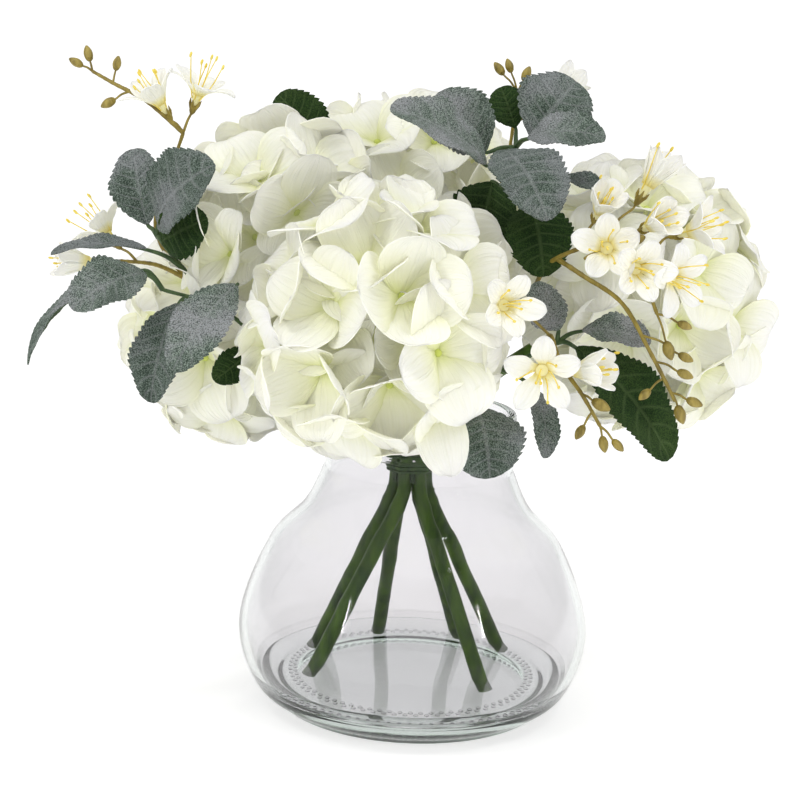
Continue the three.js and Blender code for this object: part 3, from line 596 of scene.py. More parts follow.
# %% Vase
FOOT_RISE = 0.5  # how far the foot's flat band lies above the lowest point of the CAD vase
HEEL_TOP = 2.4  # where the rounded heel passes into the wall
NECK_TOP, LIP_TOP = 99.0, 117.2
FLARE_FROM, FLARE_HEIGHT, FLARE = 97, 9.0, 0.6  # the neck widens a little below the threads
THREADS_FROM, THREAD_PITCH, THREAD_DEPTH = 105.2, 4.0, 0.95
EDGE_RADIUS, EDGE_FROM, EDGE_HEIGHT = 38.1, 118.2, 1.8
VASE_SEGMENTS = 160


def lip_profile():
    rows = []
    for z in np.linspace(NECK_TOP, LIP_TOP, 64):
        turns = (z - THREADS_FROM) / THREAD_PITCH
        ridge = max(0.0, math.sin(turns * 2 * math.pi)) if turns > 0 else 0.0
        flare = FLARE * min(1.0, (z - FLARE_FROM) / FLARE_HEIGHT)
        rows.append([VASE["neck"] + flare + THREAD_DEPTH * ridge**0.8, z])
    bore = VASE["neck"] - VASE["wall"]
    middle, half = (EDGE_RADIUS + bore) / 2, (EDGE_RADIUS - bore) / 2
    turn = np.linspace(0, math.pi, 13)
    edge = [[middle + half * math.cos(a), EDGE_FROM + EDGE_HEIGHT * math.sin(a)] for a in turn]
    inside = [[bore, z] for z in np.linspace(116, 98, 10)]
    return rows + edge + inside


def heel_profile():
    """The raised middle of the underside, the flat band of the foot and its rounded edge."""
    raised = [[r, 2.0 - 0.5 * (r / 40) ** 2] for r in (6, 14, 22, 30, 38, 44)]
    band = [[46.5, 0.8], [48, FOOT_RISE], [51.0, FOOT_RISE]]
    return [[0, 2.0], *raised, *band, [52.4, 0.7], [53.6, 1.15], [54.6, 1.75]]


def floor_profile():
    corner = [[58.4, 12.2], [56.6, 10.2], [53.5, 8.8], [50, 8.2]]
    return corner + [[radius, VASE["floor"]] for radius in (40, 30, 20, 10, 0)]


wall_rows = [row for row in outer_wall.tolist() if row[1] > HEEL_TOP]
profile = heel_profile() + wall_rows + lip_profile() + inner_wall[::-1].tolist() + floor_profile()
tray = Tray()
tray.add(*lathe(profile, VASE_SEGMENTS))
hand_over(tray.piece("vase_bulb", [vase_glass]), "vase_glass", "vase")

# %% [markdown]
# ## Stipples in the floor
# The pressed floor shows two rings of small raised dots through the water. They repeat, so
# Geometry Nodes place them: a circle of points, one small ball on each, half sunk, then Realize
# Instances, because an exported model keeps no instances, and Set Material. The tree's inputs
# are named, and the modifier's values are set by each input's identifier. One run of the tree
# makes one ring, and the two rings are staggered like bricks.

# %% A helper for Geometry Nodes
class NodeRecipe(NodeTree):
    def __init__(self, name, *inputs):
        super().__init__(bpy.data.node_groups.new(name, "GeometryNodeTree"))
        face = self.tree.interface
        face.new_socket("Geometry", in_out="INPUT", socket_type="NodeSocketGeometry")
        face.new_socket("Geometry", in_out="OUTPUT", socket_type="NodeSocketGeometry")
        self.ids = {}
        for label, kind in inputs:
            made = face.new_socket(label, in_out="INPUT", socket_type="NodeSocket" + kind)
            self.ids[label] = made.identifier
        self.start = self.tree.nodes.new("NodeGroupInput").outputs
        self.end = self.tree.nodes.new("NodeGroupOutput").inputs["Geometry"]

    def realized(self, placed):
        """The instances of a node as real geometry."""
        inputs = {"Geometry": placed.outputs["Instances"]}
        return self.add("GeometryNodeRealizeInstances", inputs).outputs["Geometry"]

    def dressed(self, geometry, material, selection=True):
        inputs = {"Geometry": geometry, "Selection": selection, "Material": material}
        return self.add("GeometryNodeSetMaterial", inputs).outputs["Geometry"]

    def run(self, source, name, **values):
        """Runs the tree on an object and returns its result as a plain mesh object."""
        modifier = source.modifiers.new(name, "NODES")
        modifier.node_group = self.tree
        for label, value in values.items():
            modifier[self.ids[label.replace("_", " ")]] = value
        return settle(source, name)


def points_object(name, places, **values):
    """A mesh of loose points in metres, with one value of each kind for each point."""
    mesh = bpy.data.meshes.new(name)
    mesh.from_pydata((vec(places) * MM).tolist(), [], [])
    for label, kept in values.items():
        kept = np.asarray(kept, float)
        kind = "FLOAT_VECTOR" if kept.ndim == 2 else "FLOAT"
        attribute = mesh.attributes.new(label, kind, "POINT")
        attribute.data.foreach_set("vector" if kept.ndim == 2 else "value", kept.ravel())
    made = bpy.data.objects.new(name, mesh)
    bpy.context.scene.collection.objects.link(made)
    return made


print("steps of a node recipe:", ", ".join(key for key in vars(NodeRecipe) if key[0] != "_"))

# %% Stipple rings
DOTS, DOT_RADIUS = 76, 1.0
RING_RADII = (47.4, 49.4)
DOT_RISE = 0.1  # how far the middle of a dot lies above the floor

stipple = NodeRecipe(
    "stipple_ring",
    ("Dots", "Int"), ("Ring radius", "Float"), ("Dot size", "Float"), ("Glass", "Material"),
)
flow = stipple.start
ring = stipple.add("GeometryNodeMeshCircle", {"Vertices": flow["Dots"], "Radius": flow["Ring radius"]})
dot = stipple.add("GeometryNodeMeshUVSphere", {"Radius": flow["Dot size"], "Segments": 8, "Rings": 5})
placed = stipple.add(
    "GeometryNodeInstanceOnPoints", {"Points": ring.outputs["Mesh"], "Instance": dot.outputs["Mesh"]}
)
shaded = stipple.add("GeometryNodeSetShadeSmooth", {"Geometry": stipple.realized(placed)})
stipple.feed(stipple.end, stipple.dressed(shaded.outputs["Geometry"], flow["Glass"]))
rings = []
for number, radius in enumerate(RING_RADII):
    holder = points_object(f"stipple_source_{number}", [[0, 0, 0]])
    dots = stipple.run(
        holder, f"stipples_{number}",
        Dots=DOTS, Ring_radius=radius * MM, Dot_size=DOT_RADIUS * MM, Glass=vase_glass,
    )
    turned = Matrix.Rotation(math.pi / DOTS * number, 4, "Z")
    dots.data.transform(Matrix.Translation((0, 0, (VASE["floor"] + DOT_RISE) * MM)) @ turned)
    rings.append(dots)
hand_over(joined(rings, "vase_stipples"), "vase_glass")

# %% [markdown]
# ## Set water
# The clear layer in the bottom of the vase holds the stems. Its sides reach a hair into the
# glass, because a thin air gap there would mirror like silver, and its rim climbs the wall a
# little, as a liquid's does. The stems simply stand in it.

# %% Water
WATER_TOP = 16.0
RIM = 0.4  # how far the water climbs the wall
WATER_SEGMENTS = 128


def water_profile():
    wet = inner_wall[inner_wall[:, 1] < WATER_TOP - RIM]
    side = [[radius + 0.12, z] for radius, z in wet]
    wall_at_top = float(np.interp(WATER_TOP + RIM, inner_wall[:, 1], inner_wall[:, 0]))
    climb = [
        [wall_at_top + 0.1, WATER_TOP + RIM],
        [wall_at_top - 0.6, WATER_TOP + 0.12],
        [wall_at_top - 1.6, WATER_TOP],
    ]
    bottom = [[0, 7.9], [20, 7.9], [40, 7.9], [50, 8.1], [53.5, 8.7], [56.7, 10.1], [58.5, 12.1]]
    return bottom + side + climb + [[30, WATER_TOP], [0, WATER_TOP]]


tray = Tray()
tray.add(*lathe(water_profile(), WATER_SEGMENTS))
hand_over(tray.piece("clear_set_water", [set_water]), "clear_water", "water")

# %% [markdown]
# ## Stems
# Six thick green stems fan out on the floor of the vase, come together in the tape and part
# again above it. Each line follows the CAD stem, a millimetre closer to the others in the
# tape, as in the photograph. The stems follow a path, so Geometry Nodes sweep a round section
# along each line, with a thickness that varies a little, and then push the skin in and out
# with a slow noise, as on a real moulded stem.

# %% Where the stems run
# The tie's axis, its height, and how far the stems and the thinner wires lie from the axis.
TIE = {"x": -3.0, "y": -4.0, "low": 97.0, "high": 110.0, "stems": 5.6, "picks": 7.8, "inner": 1.7}
STEM_RADIUS = 2.8
STEM_FOOT = 9.4  # height of the middle of a stem's lower end
CORE_SHARE = 0.27  # radius of the ball inside a head, against the head's own
SOCKET = 5  # how far a stem reaches into that ball


def at_tie(angle, ring, z):
    turn = math.radians(angle)
    return vec([TIE["x"] + ring * math.cos(turn), TIE["y"] + ring * math.sin(turn), z])


def stem_line(foot, tie_angle, top):
    low = at_tie(tie_angle, TIE["stems"], TIE["low"] - 2)
    gathered = at_tie(tie_angle, TIE["stems"] + 1.2, TIE["low"] - 10)
    high = at_tie(tie_angle, TIE["stems"], TIE["high"] + 3)
    floor = vec([*foot, STEM_FOOT])
    halfway = floor + 0.55 * (gathered - floor)
    rise = high + 0.4 * (top - high) + vec([0, 0, 3])
    return vec([floor, halfway, gathered, low, high, rise, top])


print("the tape is", TIE["high"] - TIE["low"], "mm high")

# %% Heads and their stems
# Heads: centre and radius in mm, the stem's foot and its angle in the tie, and the florets
# that face the front. Those are (x, y, z of the way out, lift, kind, spin in degrees).
HEADS = {
    "front": {
        "centre": (-19, -62, 164), "radius": 50, "foot": (-41, -13), "tie_angle": 245,
        "facing": [
            (0.26, -0.91, 0.32, 5, 1, 20), (0.56, -0.81, -0.17, 2, 0, 52), (-0.46, -0.79, -0.40, 4, 1, 62),
            (0.20, -0.80, -0.56, 0, 2, 12), (-0.38, -0.89, 0.22, 0, 2, 40), (0.38, -0.45, 0.82, 2, 0, 30),
            (-0.22, -0.50, -0.84, 0, 0, 75),
        ],
    },
    "upper_left": {
        "centre": (-55, -28, 190), "radius": 42, "foot": (-41.5, 23), "tie_angle": 185,
        "facing": [
            (0.44, -0.88, 0.17, 3, 2, 15), (-0.80, -0.60, 0.00, 4, 0, 70), (-0.25, -0.70, 0.66, 0, 0, 30),
            (-0.40, -0.89, -0.22, 5, 0, 25),
        ],
    },
    "left": {
        "centre": (-79, 12, 146), "radius": 42, "foot": (-14.5, 45), "tie_angle": 125,
        "facing": [
            (-0.15, -0.97, -0.19, 2, 0, 20), (0.02, -0.50, -0.86, 0, 3, 60), (-0.88, -0.45, 0.16, 0, 0, 40),
        ],
    },
    "back": {
        "centre": (-11, 45, 185), "radius": 58, "foot": (21, 42.5), "tie_angle": 65,
        "facing": [(-0.22, -0.55, 0.80, 0, 0, 25), (0.26, -0.51, 0.82, 0, 0, 5)],
    },
    "right": {
        "centre": (81, 8, 168), "radius": 53, "foot": (39, 27), "tie_angle": 5,
        "facing": [
            (-0.16, -0.96, -0.21, 0, 2, 30), (0.48, -0.82, 0.32, 0, 0, 15), (0.88, -0.42, -0.21, 0, 0, 50),
            (0.60, -0.42, -0.68, 0, 0, 40), (0.02, -0.55, 0.83, 0, 0, 10),
        ],
    },
}


def head_stem_line(head):
    centre = vec(head["centre"])
    down = unit(at_tie(head["tie_angle"], TIE["stems"], TIE["high"] + 20) - centre)
    top = centre + down * (head["radius"] * CORE_SHARE - SOCKET)
    return stem_line(head["foot"], head["tie_angle"], top)


stem_lines = {f"stem_{name}_head": head_stem_line(head) for name, head in HEADS.items()}
stem_lines["stem_right_spray"] = stem_line((29.5, -23), 305, vec([38, -24, 166]))
print("stems:", ", ".join(stem_lines))

# %% The stem tree
stem_tree = NodeRecipe(
    "moulded_stem",
    ("Stem radius", "Float"), ("Sides", "Int"), ("Roughness depth", "Float"), ("Skin", "Material"),
)
flow = stem_tree.start
thick = stem_tree.add("GeometryNodeInputNamedAttribute", {"Name": "thick"}, data_type="FLOAT")
line = stem_tree.add("GeometryNodeMeshToCurve", {"Mesh": flow["Geometry"]})
section = stem_tree.add(
    "GeometryNodeCurvePrimitiveCircle", {"Resolution": flow["Sides"], "Radius": flow["Stem radius"]}
)
swept = stem_tree.add(
    "GeometryNodeCurveToMesh",
    {
        "Curve": line.outputs["Curve"],
        "Profile Curve": section.outputs["Curve"],
        "Scale": thick.outputs["Attribute"],
        "Fill Caps": True,
    },
)
skin_noise = stem_tree.add("ShaderNodeTexNoise", {"Scale": 140.0, "Detail": 2.0})
centred = stem_tree.add("ShaderNodeMath", {0: skin_noise.outputs["Fac"], 1: 0.5}, operation="SUBTRACT")
depth = stem_tree.add(
    "ShaderNodeMath", {0: centred.outputs[0], 1: flow["Roughness depth"]}, operation="MULTIPLY"
)
outward = stem_tree.add("GeometryNodeInputNormal")
push = stem_tree.add(
    "ShaderNodeVectorMath", {0: outward.outputs["Normal"], "Scale": depth.outputs[0]}, operation="SCALE"
)
pushed = stem_tree.add(
    "GeometryNodeSetPosition", {"Geometry": swept.outputs["Mesh"], "Offset": push.outputs["Vector"]}
)
shaded = stem_tree.add("GeometryNodeSetShadeSmooth", {"Geometry": pushed.outputs["Geometry"]})
real = stem_tree.add("GeometryNodeRealizeInstances", {"Geometry": shaded.outputs["Geometry"]})
stem_tree.feed(stem_tree.end, stem_tree.dressed(real.outputs["Geometry"], flow["Skin"]))
print(stem_tree.tree.name, "has", len(stem_tree.tree.nodes), "nodes")


def line_object(name, path, thickness):
    """A chain of edges in metres, with a thickness factor for each point."""
    made = points_object(name, path, thick=thickness)
    mesh = made.data
    mesh.edges.add(len(path) - 1)
    for k, edge in enumerate(mesh.edges):
        edge.vertices = (k, k + 1)
    mesh.update()
    return made


# %% Stems
STEM_STEPS, STEM_SIDES = 90, 14

for number, (name, points) in enumerate(stem_lines.items()):
    path = smooth_path(points, STEM_STEPS)
    share = np.linspace(0, 1, STEM_STEPS)
    knots = sum(0.10 * np.exp(-(((share - at) / 0.012) ** 2)) for at in (0.16 + 0.03 * number, 0.37))
    thickness = 1.06 - 0.12 * share + knots
    source = line_object(f"{name}_line", path, thickness)
    stem = stem_tree.run(
        source, f"{name}_bar",
        Stem_radius=STEM_RADIUS * MM, Sides=STEM_SIDES, Roughness_depth=0.5 * MM, Skin=stem_green,
    )
    hand_over(stem, "green_stem", name)


# %% [markdown]
# ## The tape
# Green florist's tape binds the stems. It is wound as a screw, each turn half over the last, so
# its surface is a band whose radius rises and falls along a helix. One grid of points round
# the bundle, with that rule for the radius, gives the windings, and small steady unevenness
# keeps them from looking turned on a machine.

# %% Tape
TAPE_TURNS, TAPE_RADIUS = 8, 8.6
TAPE_COLUMNS, TAPE_ROWS = 96, 96


def tape_radius(share, angles):
    """The radius round the bundle at one height, `share` of the way up the tie."""
    phase = share * TAPE_TURNS - angles / (2 * math.pi)
    step = phase - np.floor(phase)
    swell = 0.85 * step**0.6 * (step < 0.88) + 0.80 * (1 - step) / 0.12 * (step >= 0.88)
    bundle = 0.35 * np.cos(6 * (angles - math.radians(5)))
    taper = 0.5 * min(1.0, 8 * share, 8 * (1 - share))
    return TAPE_RADIUS + bundle + taper + swell + 0.12 * np.sin(5 * angles + 9 * share)


def tape_rings():
    """Rings up the outside of the tie, and two more that lead down its inside."""
    angles = 2 * math.pi * np.arange(TAPE_COLUMNS) / TAPE_COLUMNS
    centre = vec([TIE["x"], TIE["y"]])
    rings = []
    for share in np.linspace(0, 1, TAPE_ROWS):
        z = TIE["low"] + share * (TIE["high"] - TIE["low"])
        radius = tape_radius(share, angles)
        ring = centre + radius[:, None] * np.column_stack([np.cos(angles), np.sin(angles)])
        rings.append(np.column_stack([ring, np.full(TAPE_COLUMNS, z)]))
    inner_rings = []
    for ring in (rings[-1], rings[0]):
        pulled = ring.copy()
        pulled[:, :2] = centre + 0.82 * (ring[:, :2] - centre)
        inner_rings.append(pulled)
    return rings + inner_rings


def tape_tray():
    loops = tape_rings()
    faces = []
    for k in range(len(loops)):
        below, above = k * TAPE_COLUMNS, (k + 1) % len(loops) * TAPE_COLUMNS
        for j in range(TAPE_COLUMNS):
            after = (j + 1) % TAPE_COLUMNS
            faces.append((below + j, below + after, above + after, above + j))
    tray = Tray()
    tray.add(np.concatenate(loops), [faces])
    return tray


hand_over(tape_tray().piece("stem_tape_windings", [tape_green]), "stem_tape", "stem_tie")

# %% [markdown]
# ## One hydrangea floret
# A floret is four broad round petals, each with one side over its neighbour. A petal is a
# shell: its midline leaves the middle of the floret at one slope and ends at another, its width
# swells from a narrow foot to an end as round as a coin, its sides turn up a little, and its rim
# waves. The rows of points lie closer together towards the round end, or it would look cut with
# scissors. Five kinds are made, from wide open to half closed, and every petal of a floret has
# its own tilt, because a head of equal florets looks stamped. A small dome sits in the middle
# and a thin stalk runs down from it.

# %% A petal
# The slope of a petal's midline at its foot and at its end, in degrees, its length in mm, how
# far its sides turn up and how far its rim waves.
FLORET_KINDS = [
    {"start": 34, "end": 4, "length": 25.0, "cup": 2.0, "ruffle": 1.2},
    {"start": 24, "end": 60, "length": 26.0, "cup": 3.4, "ruffle": 1.2},
    {"start": 34, "end": 36, "length": 25.0, "cup": 2.8, "ruffle": 1.2},
    {"start": 44, "end": -22, "length": 25.0, "cup": 1.4, "ruffle": 1.5},
    {"start": 48, "end": 68, "length": 22.0, "cup": 3.2, "ruffle": 0.9},
]
PETAL_SHARE = 0.50  # half of a petal's width against its length
ROUND_FROM = 0.50  # where on its length a petal is widest
PETAL_THICKNESS = 0.35
PETAL_ROWS, PETAL_COLUMNS = 12, 13


def bend_along(distance, start, end, length):
    """Outward and upward travel along a midline whose slope goes evenly from start to end."""
    start, end = math.radians(start), math.radians(end)
    rate = (end - start) / length
    out = (np.sin(start + rate * distance) - math.sin(start)) / rate
    up = (math.cos(start) - np.cos(start + rate * distance)) / rate
    return out, up


def petal_shell(kind, key):
    k = FLORET_KINDS[kind]
    length = k["length"] * (0.93 + 0.13 * steady(key))
    tilt = 22 * (steady(key + 1) - 0.5)
    s = 0.04 + 0.96 * np.sin(np.linspace(0, math.pi / 2, PETAL_ROWS))[:, None]
    u = np.linspace(-1, 1, PETAL_COLUMNS)[None, :]
    foot = 0.18 + 0.82 * np.sin(math.pi / 2 * np.minimum(1, s / ROUND_FROM)) ** 1.1
    crown = np.sqrt(np.maximum(1 - (np.maximum(0, s - ROUND_FROM) / (1 - ROUND_FROM)) ** 2.2, 0.002))
    beside = foot * crown * u
    side = PETAL_SHARE * length * beside
    dent = 0.03 * length * np.exp(-(((beside - 0.4 * (steady(key + 5) - 0.5)) / 0.25) ** 2)) * s**6
    out, up = bend_along(length * s - dent, k["start"] + 0.4 * tilt, k["end"] + tilt, length)
    tile = 0.14 * side
    cup = k["cup"] * beside**2 * s**0.7
    rim = k["ruffle"] * np.sin(3.4 * beside + 6.3 * steady(key + 3)) * s**3
    pleats = 0.24 * np.cos(17 * beside + 3 * steady(key + 4)) * np.sin(math.pi * s)
    top = np.stack([out - 0.05 * np.abs(side) * s, side, up + tile + cup + rim + pleats], -1)
    reach = (s * (1 - 0.10 * u**2)).ravel()
    strand = (u + 0 * s).ravel() + 3 * steady(key + 6)
    points, groups = shell(top, PETAL_THICKNESS)
    return points, groups, np.tile(reach, 2), np.tile(strand, 2)


print("a petal has", len(petal_shell(0, 0)[0]), "points")

# %% A whole floret
def dome(radius, height, base):
    """A small cap that closes at its top and at its bottom."""
    lift = np.linspace(0, math.pi / 2, 4)[:-1]
    profile = [[0, base]] + [[radius * math.cos(a), base + height * math.sin(a)] for a in lift]
    return lathe(profile + [[0, base + height]], 8)


def floret_tray(kind):
    tray = Tray("reach", "strand")
    for k in range(4):
        points, groups, reach, strand = petal_shell(kind, 10 * kind + k)
        turn = math.radians(90 * k + 7 * (steady(kind + 20 * k) - 0.5))
        spun = points @ np.array(Matrix.Rotation(turn, 3, "Z")).T
        tray.add(spun, groups, reach=reach, strand=strand)
    tray.add(*dome(radius=1.5, height=1.3, base=0.6))
    tray.add(*tube([[0, 0, 0.8], [0, 0, -9], [0.6, 0, -26]], [0.9, 0.6, 0.8], 6), reach=0.09)
    return tray


def hidden_set(name, meshes):
    """A collection of objects that Geometry Nodes pick from by number."""
    group = bpy.data.collections.new(name)
    bpy.context.scene.collection.children.link(group)
    for number, mesh in enumerate(meshes):
        group.objects.link(bpy.data.objects.new(f"{name}_{number}", mesh))
    return group


floret_set = hidden_set(
    "florets", [floret_tray(kind).mesh(f"floret_{kind}", []) for kind in range(len(FLORET_KINDS))]
)

# %% [markdown]
# ## Where the florets sit
# On a real head the florets face outward all over a ball and leave only the underside open for
# the stem. The ones that face the front are listed one by one to match the photograph. The rest
# fill the ball: again and again a floret goes to the free place that is furthest from all the
# others, until no gap is left. Neighbouring heads press on each other, so no floret sits
# beyond the plane midway between two heads. A second, smaller layer lies under the first and
# closes the view into the head.

# %% Placing the florets
TIE_POINT = vec([0, 0, 112])  # the heads are bare on the side that faces this
OUTER_BARE, INNER_BARE = 46, 30  # how wide that bare side is, in degrees from its middle
OUTER_GAP, INNER_GAP = 24.0, 20.0  # florets are added until none of their gaps is wider
INNER_SHARE, INNER_DEPTH, INNER_SIZE = 0.80, 14, 0.9
HEAD_GAP = 1.0  # what is left free on each side of the plane between two heads
SEAM = 3.0  # no floret's own place comes closer to that plane
FULL_TURN = 6.28


def dividers(name):
    centre, radius = vec(HEADS[name]["centre"]), HEADS[name]["radius"]
    walls = []
    for other, head in HEADS.items():
        across = vec(head["centre"]) - centre
        apart = np.linalg.norm(across)
        if other != name:
            reach = (apart**2 + radius**2 - head["radius"] ** 2) / (2 * apart) - HEAD_GAP
            if reach < radius:
                walls.append((across / apart, reach))
    return walls


def spiral(count):
    height = 1 - (2 * np.arange(count) + 1) / count
    around = np.arange(count) * math.pi * (3 - math.sqrt(5))
    level = np.sqrt(1 - height**2)
    return np.stack([level * np.cos(around), level * np.sin(around), height], -1)


def free_ways(name, radius, bare_angle, count=400):
    """Even directions from a head's middle that are open to a floret."""
    centre = vec(HEADS[name]["centre"])
    to_tie = unit(TIE_POINT - centre)
    walls = dividers(name)
    return np.array([
        way for way in spiral(count)
        if way @ to_tie < math.cos(math.radians(bare_angle))
        and all(way @ normal * radius < reach - SEAM for normal, reach in walls)
    ])


def filled(first, places, radius, gap):
    """Adds the place furthest from all the others until every place is within `gap`."""
    kept = [vec(way) for way in first]
    while True:
        nearest = np.min([np.linalg.norm(places - way, axis=1) for way in kept], axis=0)
        best = int(np.argmax(nearest))
        if nearest[best] * radius < gap:
            return kept
        kept.append(places[best])


for name, head in HEADS.items():
    ways = free_ways(name, head["radius"], OUTER_BARE)
    print(f"{name}: {len(ways)} directions are open to a floret")

# %% Rows for the florets
KIND_DRAW = (0, 0, 0, 1, 1, 2, 2, 2, 3, 4)  # the common kinds are in it more than once


def rim_place(kind):
    """How far out and how high a floret's petals reach, a little inside their rim."""
    k = FLORET_KINDS[kind]
    out, up = bend_along(0.9 * k["length"], k["start"], k["end"], k["length"])
    return float(out), float(up)


def outer_florets(name):
    """Rows of (way, distance from the middle, kind, spin, size)."""
    head = HEADS[name]
    radius = head["radius"]
    placed = []
    for x, y, z, lift, kind, spin in head["facing"]:
        placed.append((unit([x, y, z]), lift, kind, spin))
    ways = filled([row[0] for row in placed], free_ways(name, radius, OUTER_BARE), radius, OUTER_GAP)
    for k, way in enumerate(ways[len(placed) :]):
        kind = KIND_DRAW[int(len(KIND_DRAW) * steady(3 * k + radius))]
        placed.append((way, 3 * (steady(k + 2 * radius) - 0.6), kind, 90 * steady(5 * k + radius)))
    rows = []
    for k, (way, lift, kind, spin) in enumerate(placed):
        spread, height = rim_place(kind)
        base = math.sqrt(radius**2 - spread**2) - height + lift
        rows.append((way, base, kind, math.radians(spin), 0.95 + 0.1 * steady(k + 3 * radius)))
    return rows


def inner_florets(name):
    radius = HEADS[name]["radius"] * INNER_SHARE
    places = free_ways(name, radius, INNER_BARE)
    rows = []
    for k, way in enumerate(filled([places[0]], places, radius, INNER_GAP)):
        kind = (0, 2, 3)[int(2.999 * steady(7 * k + radius))]
        spin = FULL_TURN * steady(9 * k + radius)
        rows.append((way, radius - INNER_DEPTH, kind, spin, INNER_SIZE))
    return rows


for name in HEADS:
    outer, inner = outer_florets(name), inner_florets(name)
    print(f"{name}: {len(outer)} outer and {len(inner)} inner florets")


# %% [markdown]
# ## A head by Geometry Nodes
# The places go into a mesh of loose points with their facing, kind, spin and size. The tree
# leans each facing a little with a seeded random vector, turns the floret to it, spins it about
# its own stalk and picks the kind by number. `tone` stays with each floret through Realize
# Instances, so the cloth can differ from floret to floret.

# %% The head tree
head_tree = NodeRecipe(
    "hydrangea_head",
    ("Florets", "Collection"), ("Floret size", "Float"), ("Lean", "Float"), ("Seed", "Int"),
    ("Cloth", "Material"),
)


CARRIED = {"facing": "FLOAT_VECTOR", "kind": "FLOAT", "spin": "FLOAT", "grow": "FLOAT"}


def picked_instances(recipe, seed, lean, collection, size):
    """Instances of a collection's objects on points that carry facing, kind, spin and grow."""
    nodes = {}
    for label, kind in CARRIED.items():
        node = recipe.add("GeometryNodeInputNamedAttribute", {"Name": label}, data_type=kind)
        nodes[label] = next(output for output in node.outputs if output.enabled)
    limits = {0: (-1, -1, -1), 1: (1, 1, 1), "Seed": seed}
    loose = recipe.add("FunctionNodeRandomValue", limits, data_type="FLOAT_VECTOR")
    leaned = recipe.add("ShaderNodeVectorMath", {0: loose.outputs[0], "Scale": lean}, operation="SCALE")
    way = recipe.add(
        "ShaderNodeVectorMath", {0: nodes["facing"], 1: leaned.outputs["Vector"]}, operation="ADD"
    )
    faced = recipe.add("FunctionNodeAlignRotationToVector", {"Vector": way.outputs["Vector"]}, axis="Z")
    spun = recipe.add("FunctionNodeAxisAngleToRotation", {"Axis": (0, 0, 1), "Angle": nodes["spin"]})
    turned = recipe.add(
        "FunctionNodeRotateRotation",
        {"Rotation": faced.outputs["Rotation"], "Rotate By": spun.outputs["Rotation"]},
        rotation_space="LOCAL",
    )
    sized = recipe.add("ShaderNodeMath", {0: nodes["grow"], 1: size}, operation="MULTIPLY")
    source = recipe.add(
        "GeometryNodeCollectionInfo",
        {"Collection": collection, "Separate Children": True, "Reset Children": True},
    )
    return recipe.add(
        "GeometryNodeInstanceOnPoints",
        {
            "Points": recipe.start["Geometry"],
            "Instance": source.outputs["Instances"],
            "Pick Instance": True,
            "Instance Index": nodes["kind"],
            "Rotation": turned.outputs["Rotation"],
            "Scale": sized.outputs[0],
        },
    )


flow = head_tree.start
placed = picked_instances(head_tree, flow["Seed"], flow["Lean"], flow["Florets"], flow["Floret size"])
head_tree.feed(head_tree.end, head_tree.dressed(head_tree.realized(placed), flow["Cloth"]))
print(head_tree.tree.name, "has", len(head_tree.tree.nodes), "nodes")

# %% [markdown]
# ## The five heads
# Each head is the realized florets and a small rough ball that their stalks grow from. The
# petals that reach past the plane to the next head are pressed back, as where two heads touch
# in the vase: the further out a point lies, the more it gives way, so no petal is cut off.
# One long narrow petal hangs free from the front head, over the lip of the vase.

# %% Petals that give way
PRESS_ZONE = 12.0  # how far before the plane between two heads the petals begin to give way
OVERHANG = 4  # how far petals reach past their head's radius


def press_back(points, name):
    """Moves points that come near a neighbouring head back, the furthest the most."""
    centre, radius = vec(HEADS[name]["centre"]), HEADS[name]["radius"]
    for normal, reach in dividers(name):
        past = (points - centre) @ normal - reach + PRESS_ZONE
        most = radius + OVERHANG - reach + PRESS_ZONE
        points = points + np.where(past > 0, past * (PRESS_ZONE / most) - past, 0)[:, None] * normal
    return points


for name in HEADS:
    print(f"{name}: pressed by {len(dividers(name))} neighbours")


# %% A free petal and the core
LOOSE_KEY = 91
# The petal that hangs free: its root and tip, the way it faces, and its width against a
# floret petal's.
LOOSE_PETALS = {"front": [((2, -82, 140), (10.5, -94, 110), (0.1, -1, 0.1), 0.55)]}


def loose_petal(root, tip, face, narrow):
    """A petal from `root` to `tip` with its upper side towards `face`."""
    points, groups, reach, strand = petal_shell(0, LOOSE_KEY)
    along = vec(tip) - vec(root)
    stretch = np.linalg.norm(along) / FLORET_KINDS[0]["length"]
    x = unit(along)
    z = unit(vec(face) - (vec(face) @ x) * x)
    y = np.cross(z, x)
    flat = points[:, :1] * x + narrow * points[:, 1:2] * y + 0.5 * points[:, 2:] * z
    return vec(root) + stretch * flat, groups, reach, strand


def core_tray(name):
    radius = HEADS[name]["radius"] * CORE_SHARE
    profile = [[radius * math.sin(a), -radius * math.cos(a)] for a in np.linspace(0, math.pi, 15)]
    points, groups = lathe(profile, 28)
    rough = 1 + 0.06 * np.sin(0.9 * points[:, :1]) * np.sin(0.8 * points[:, 1:2]) * np.cos(points[:, 2:])
    tray = Tray("reach", "strand", "tone")
    tray.add(points * rough + vec(HEADS[name]["centre"]), groups, reach=0.10)
    for petal in LOOSE_PETALS.get(name, []):
        points, groups, reach, strand = loose_petal(*petal)
        tray.add(points, groups, reach=reach, strand=strand)
    return tray


print("points of the front head's core and free petal:", core_tray("front").count)

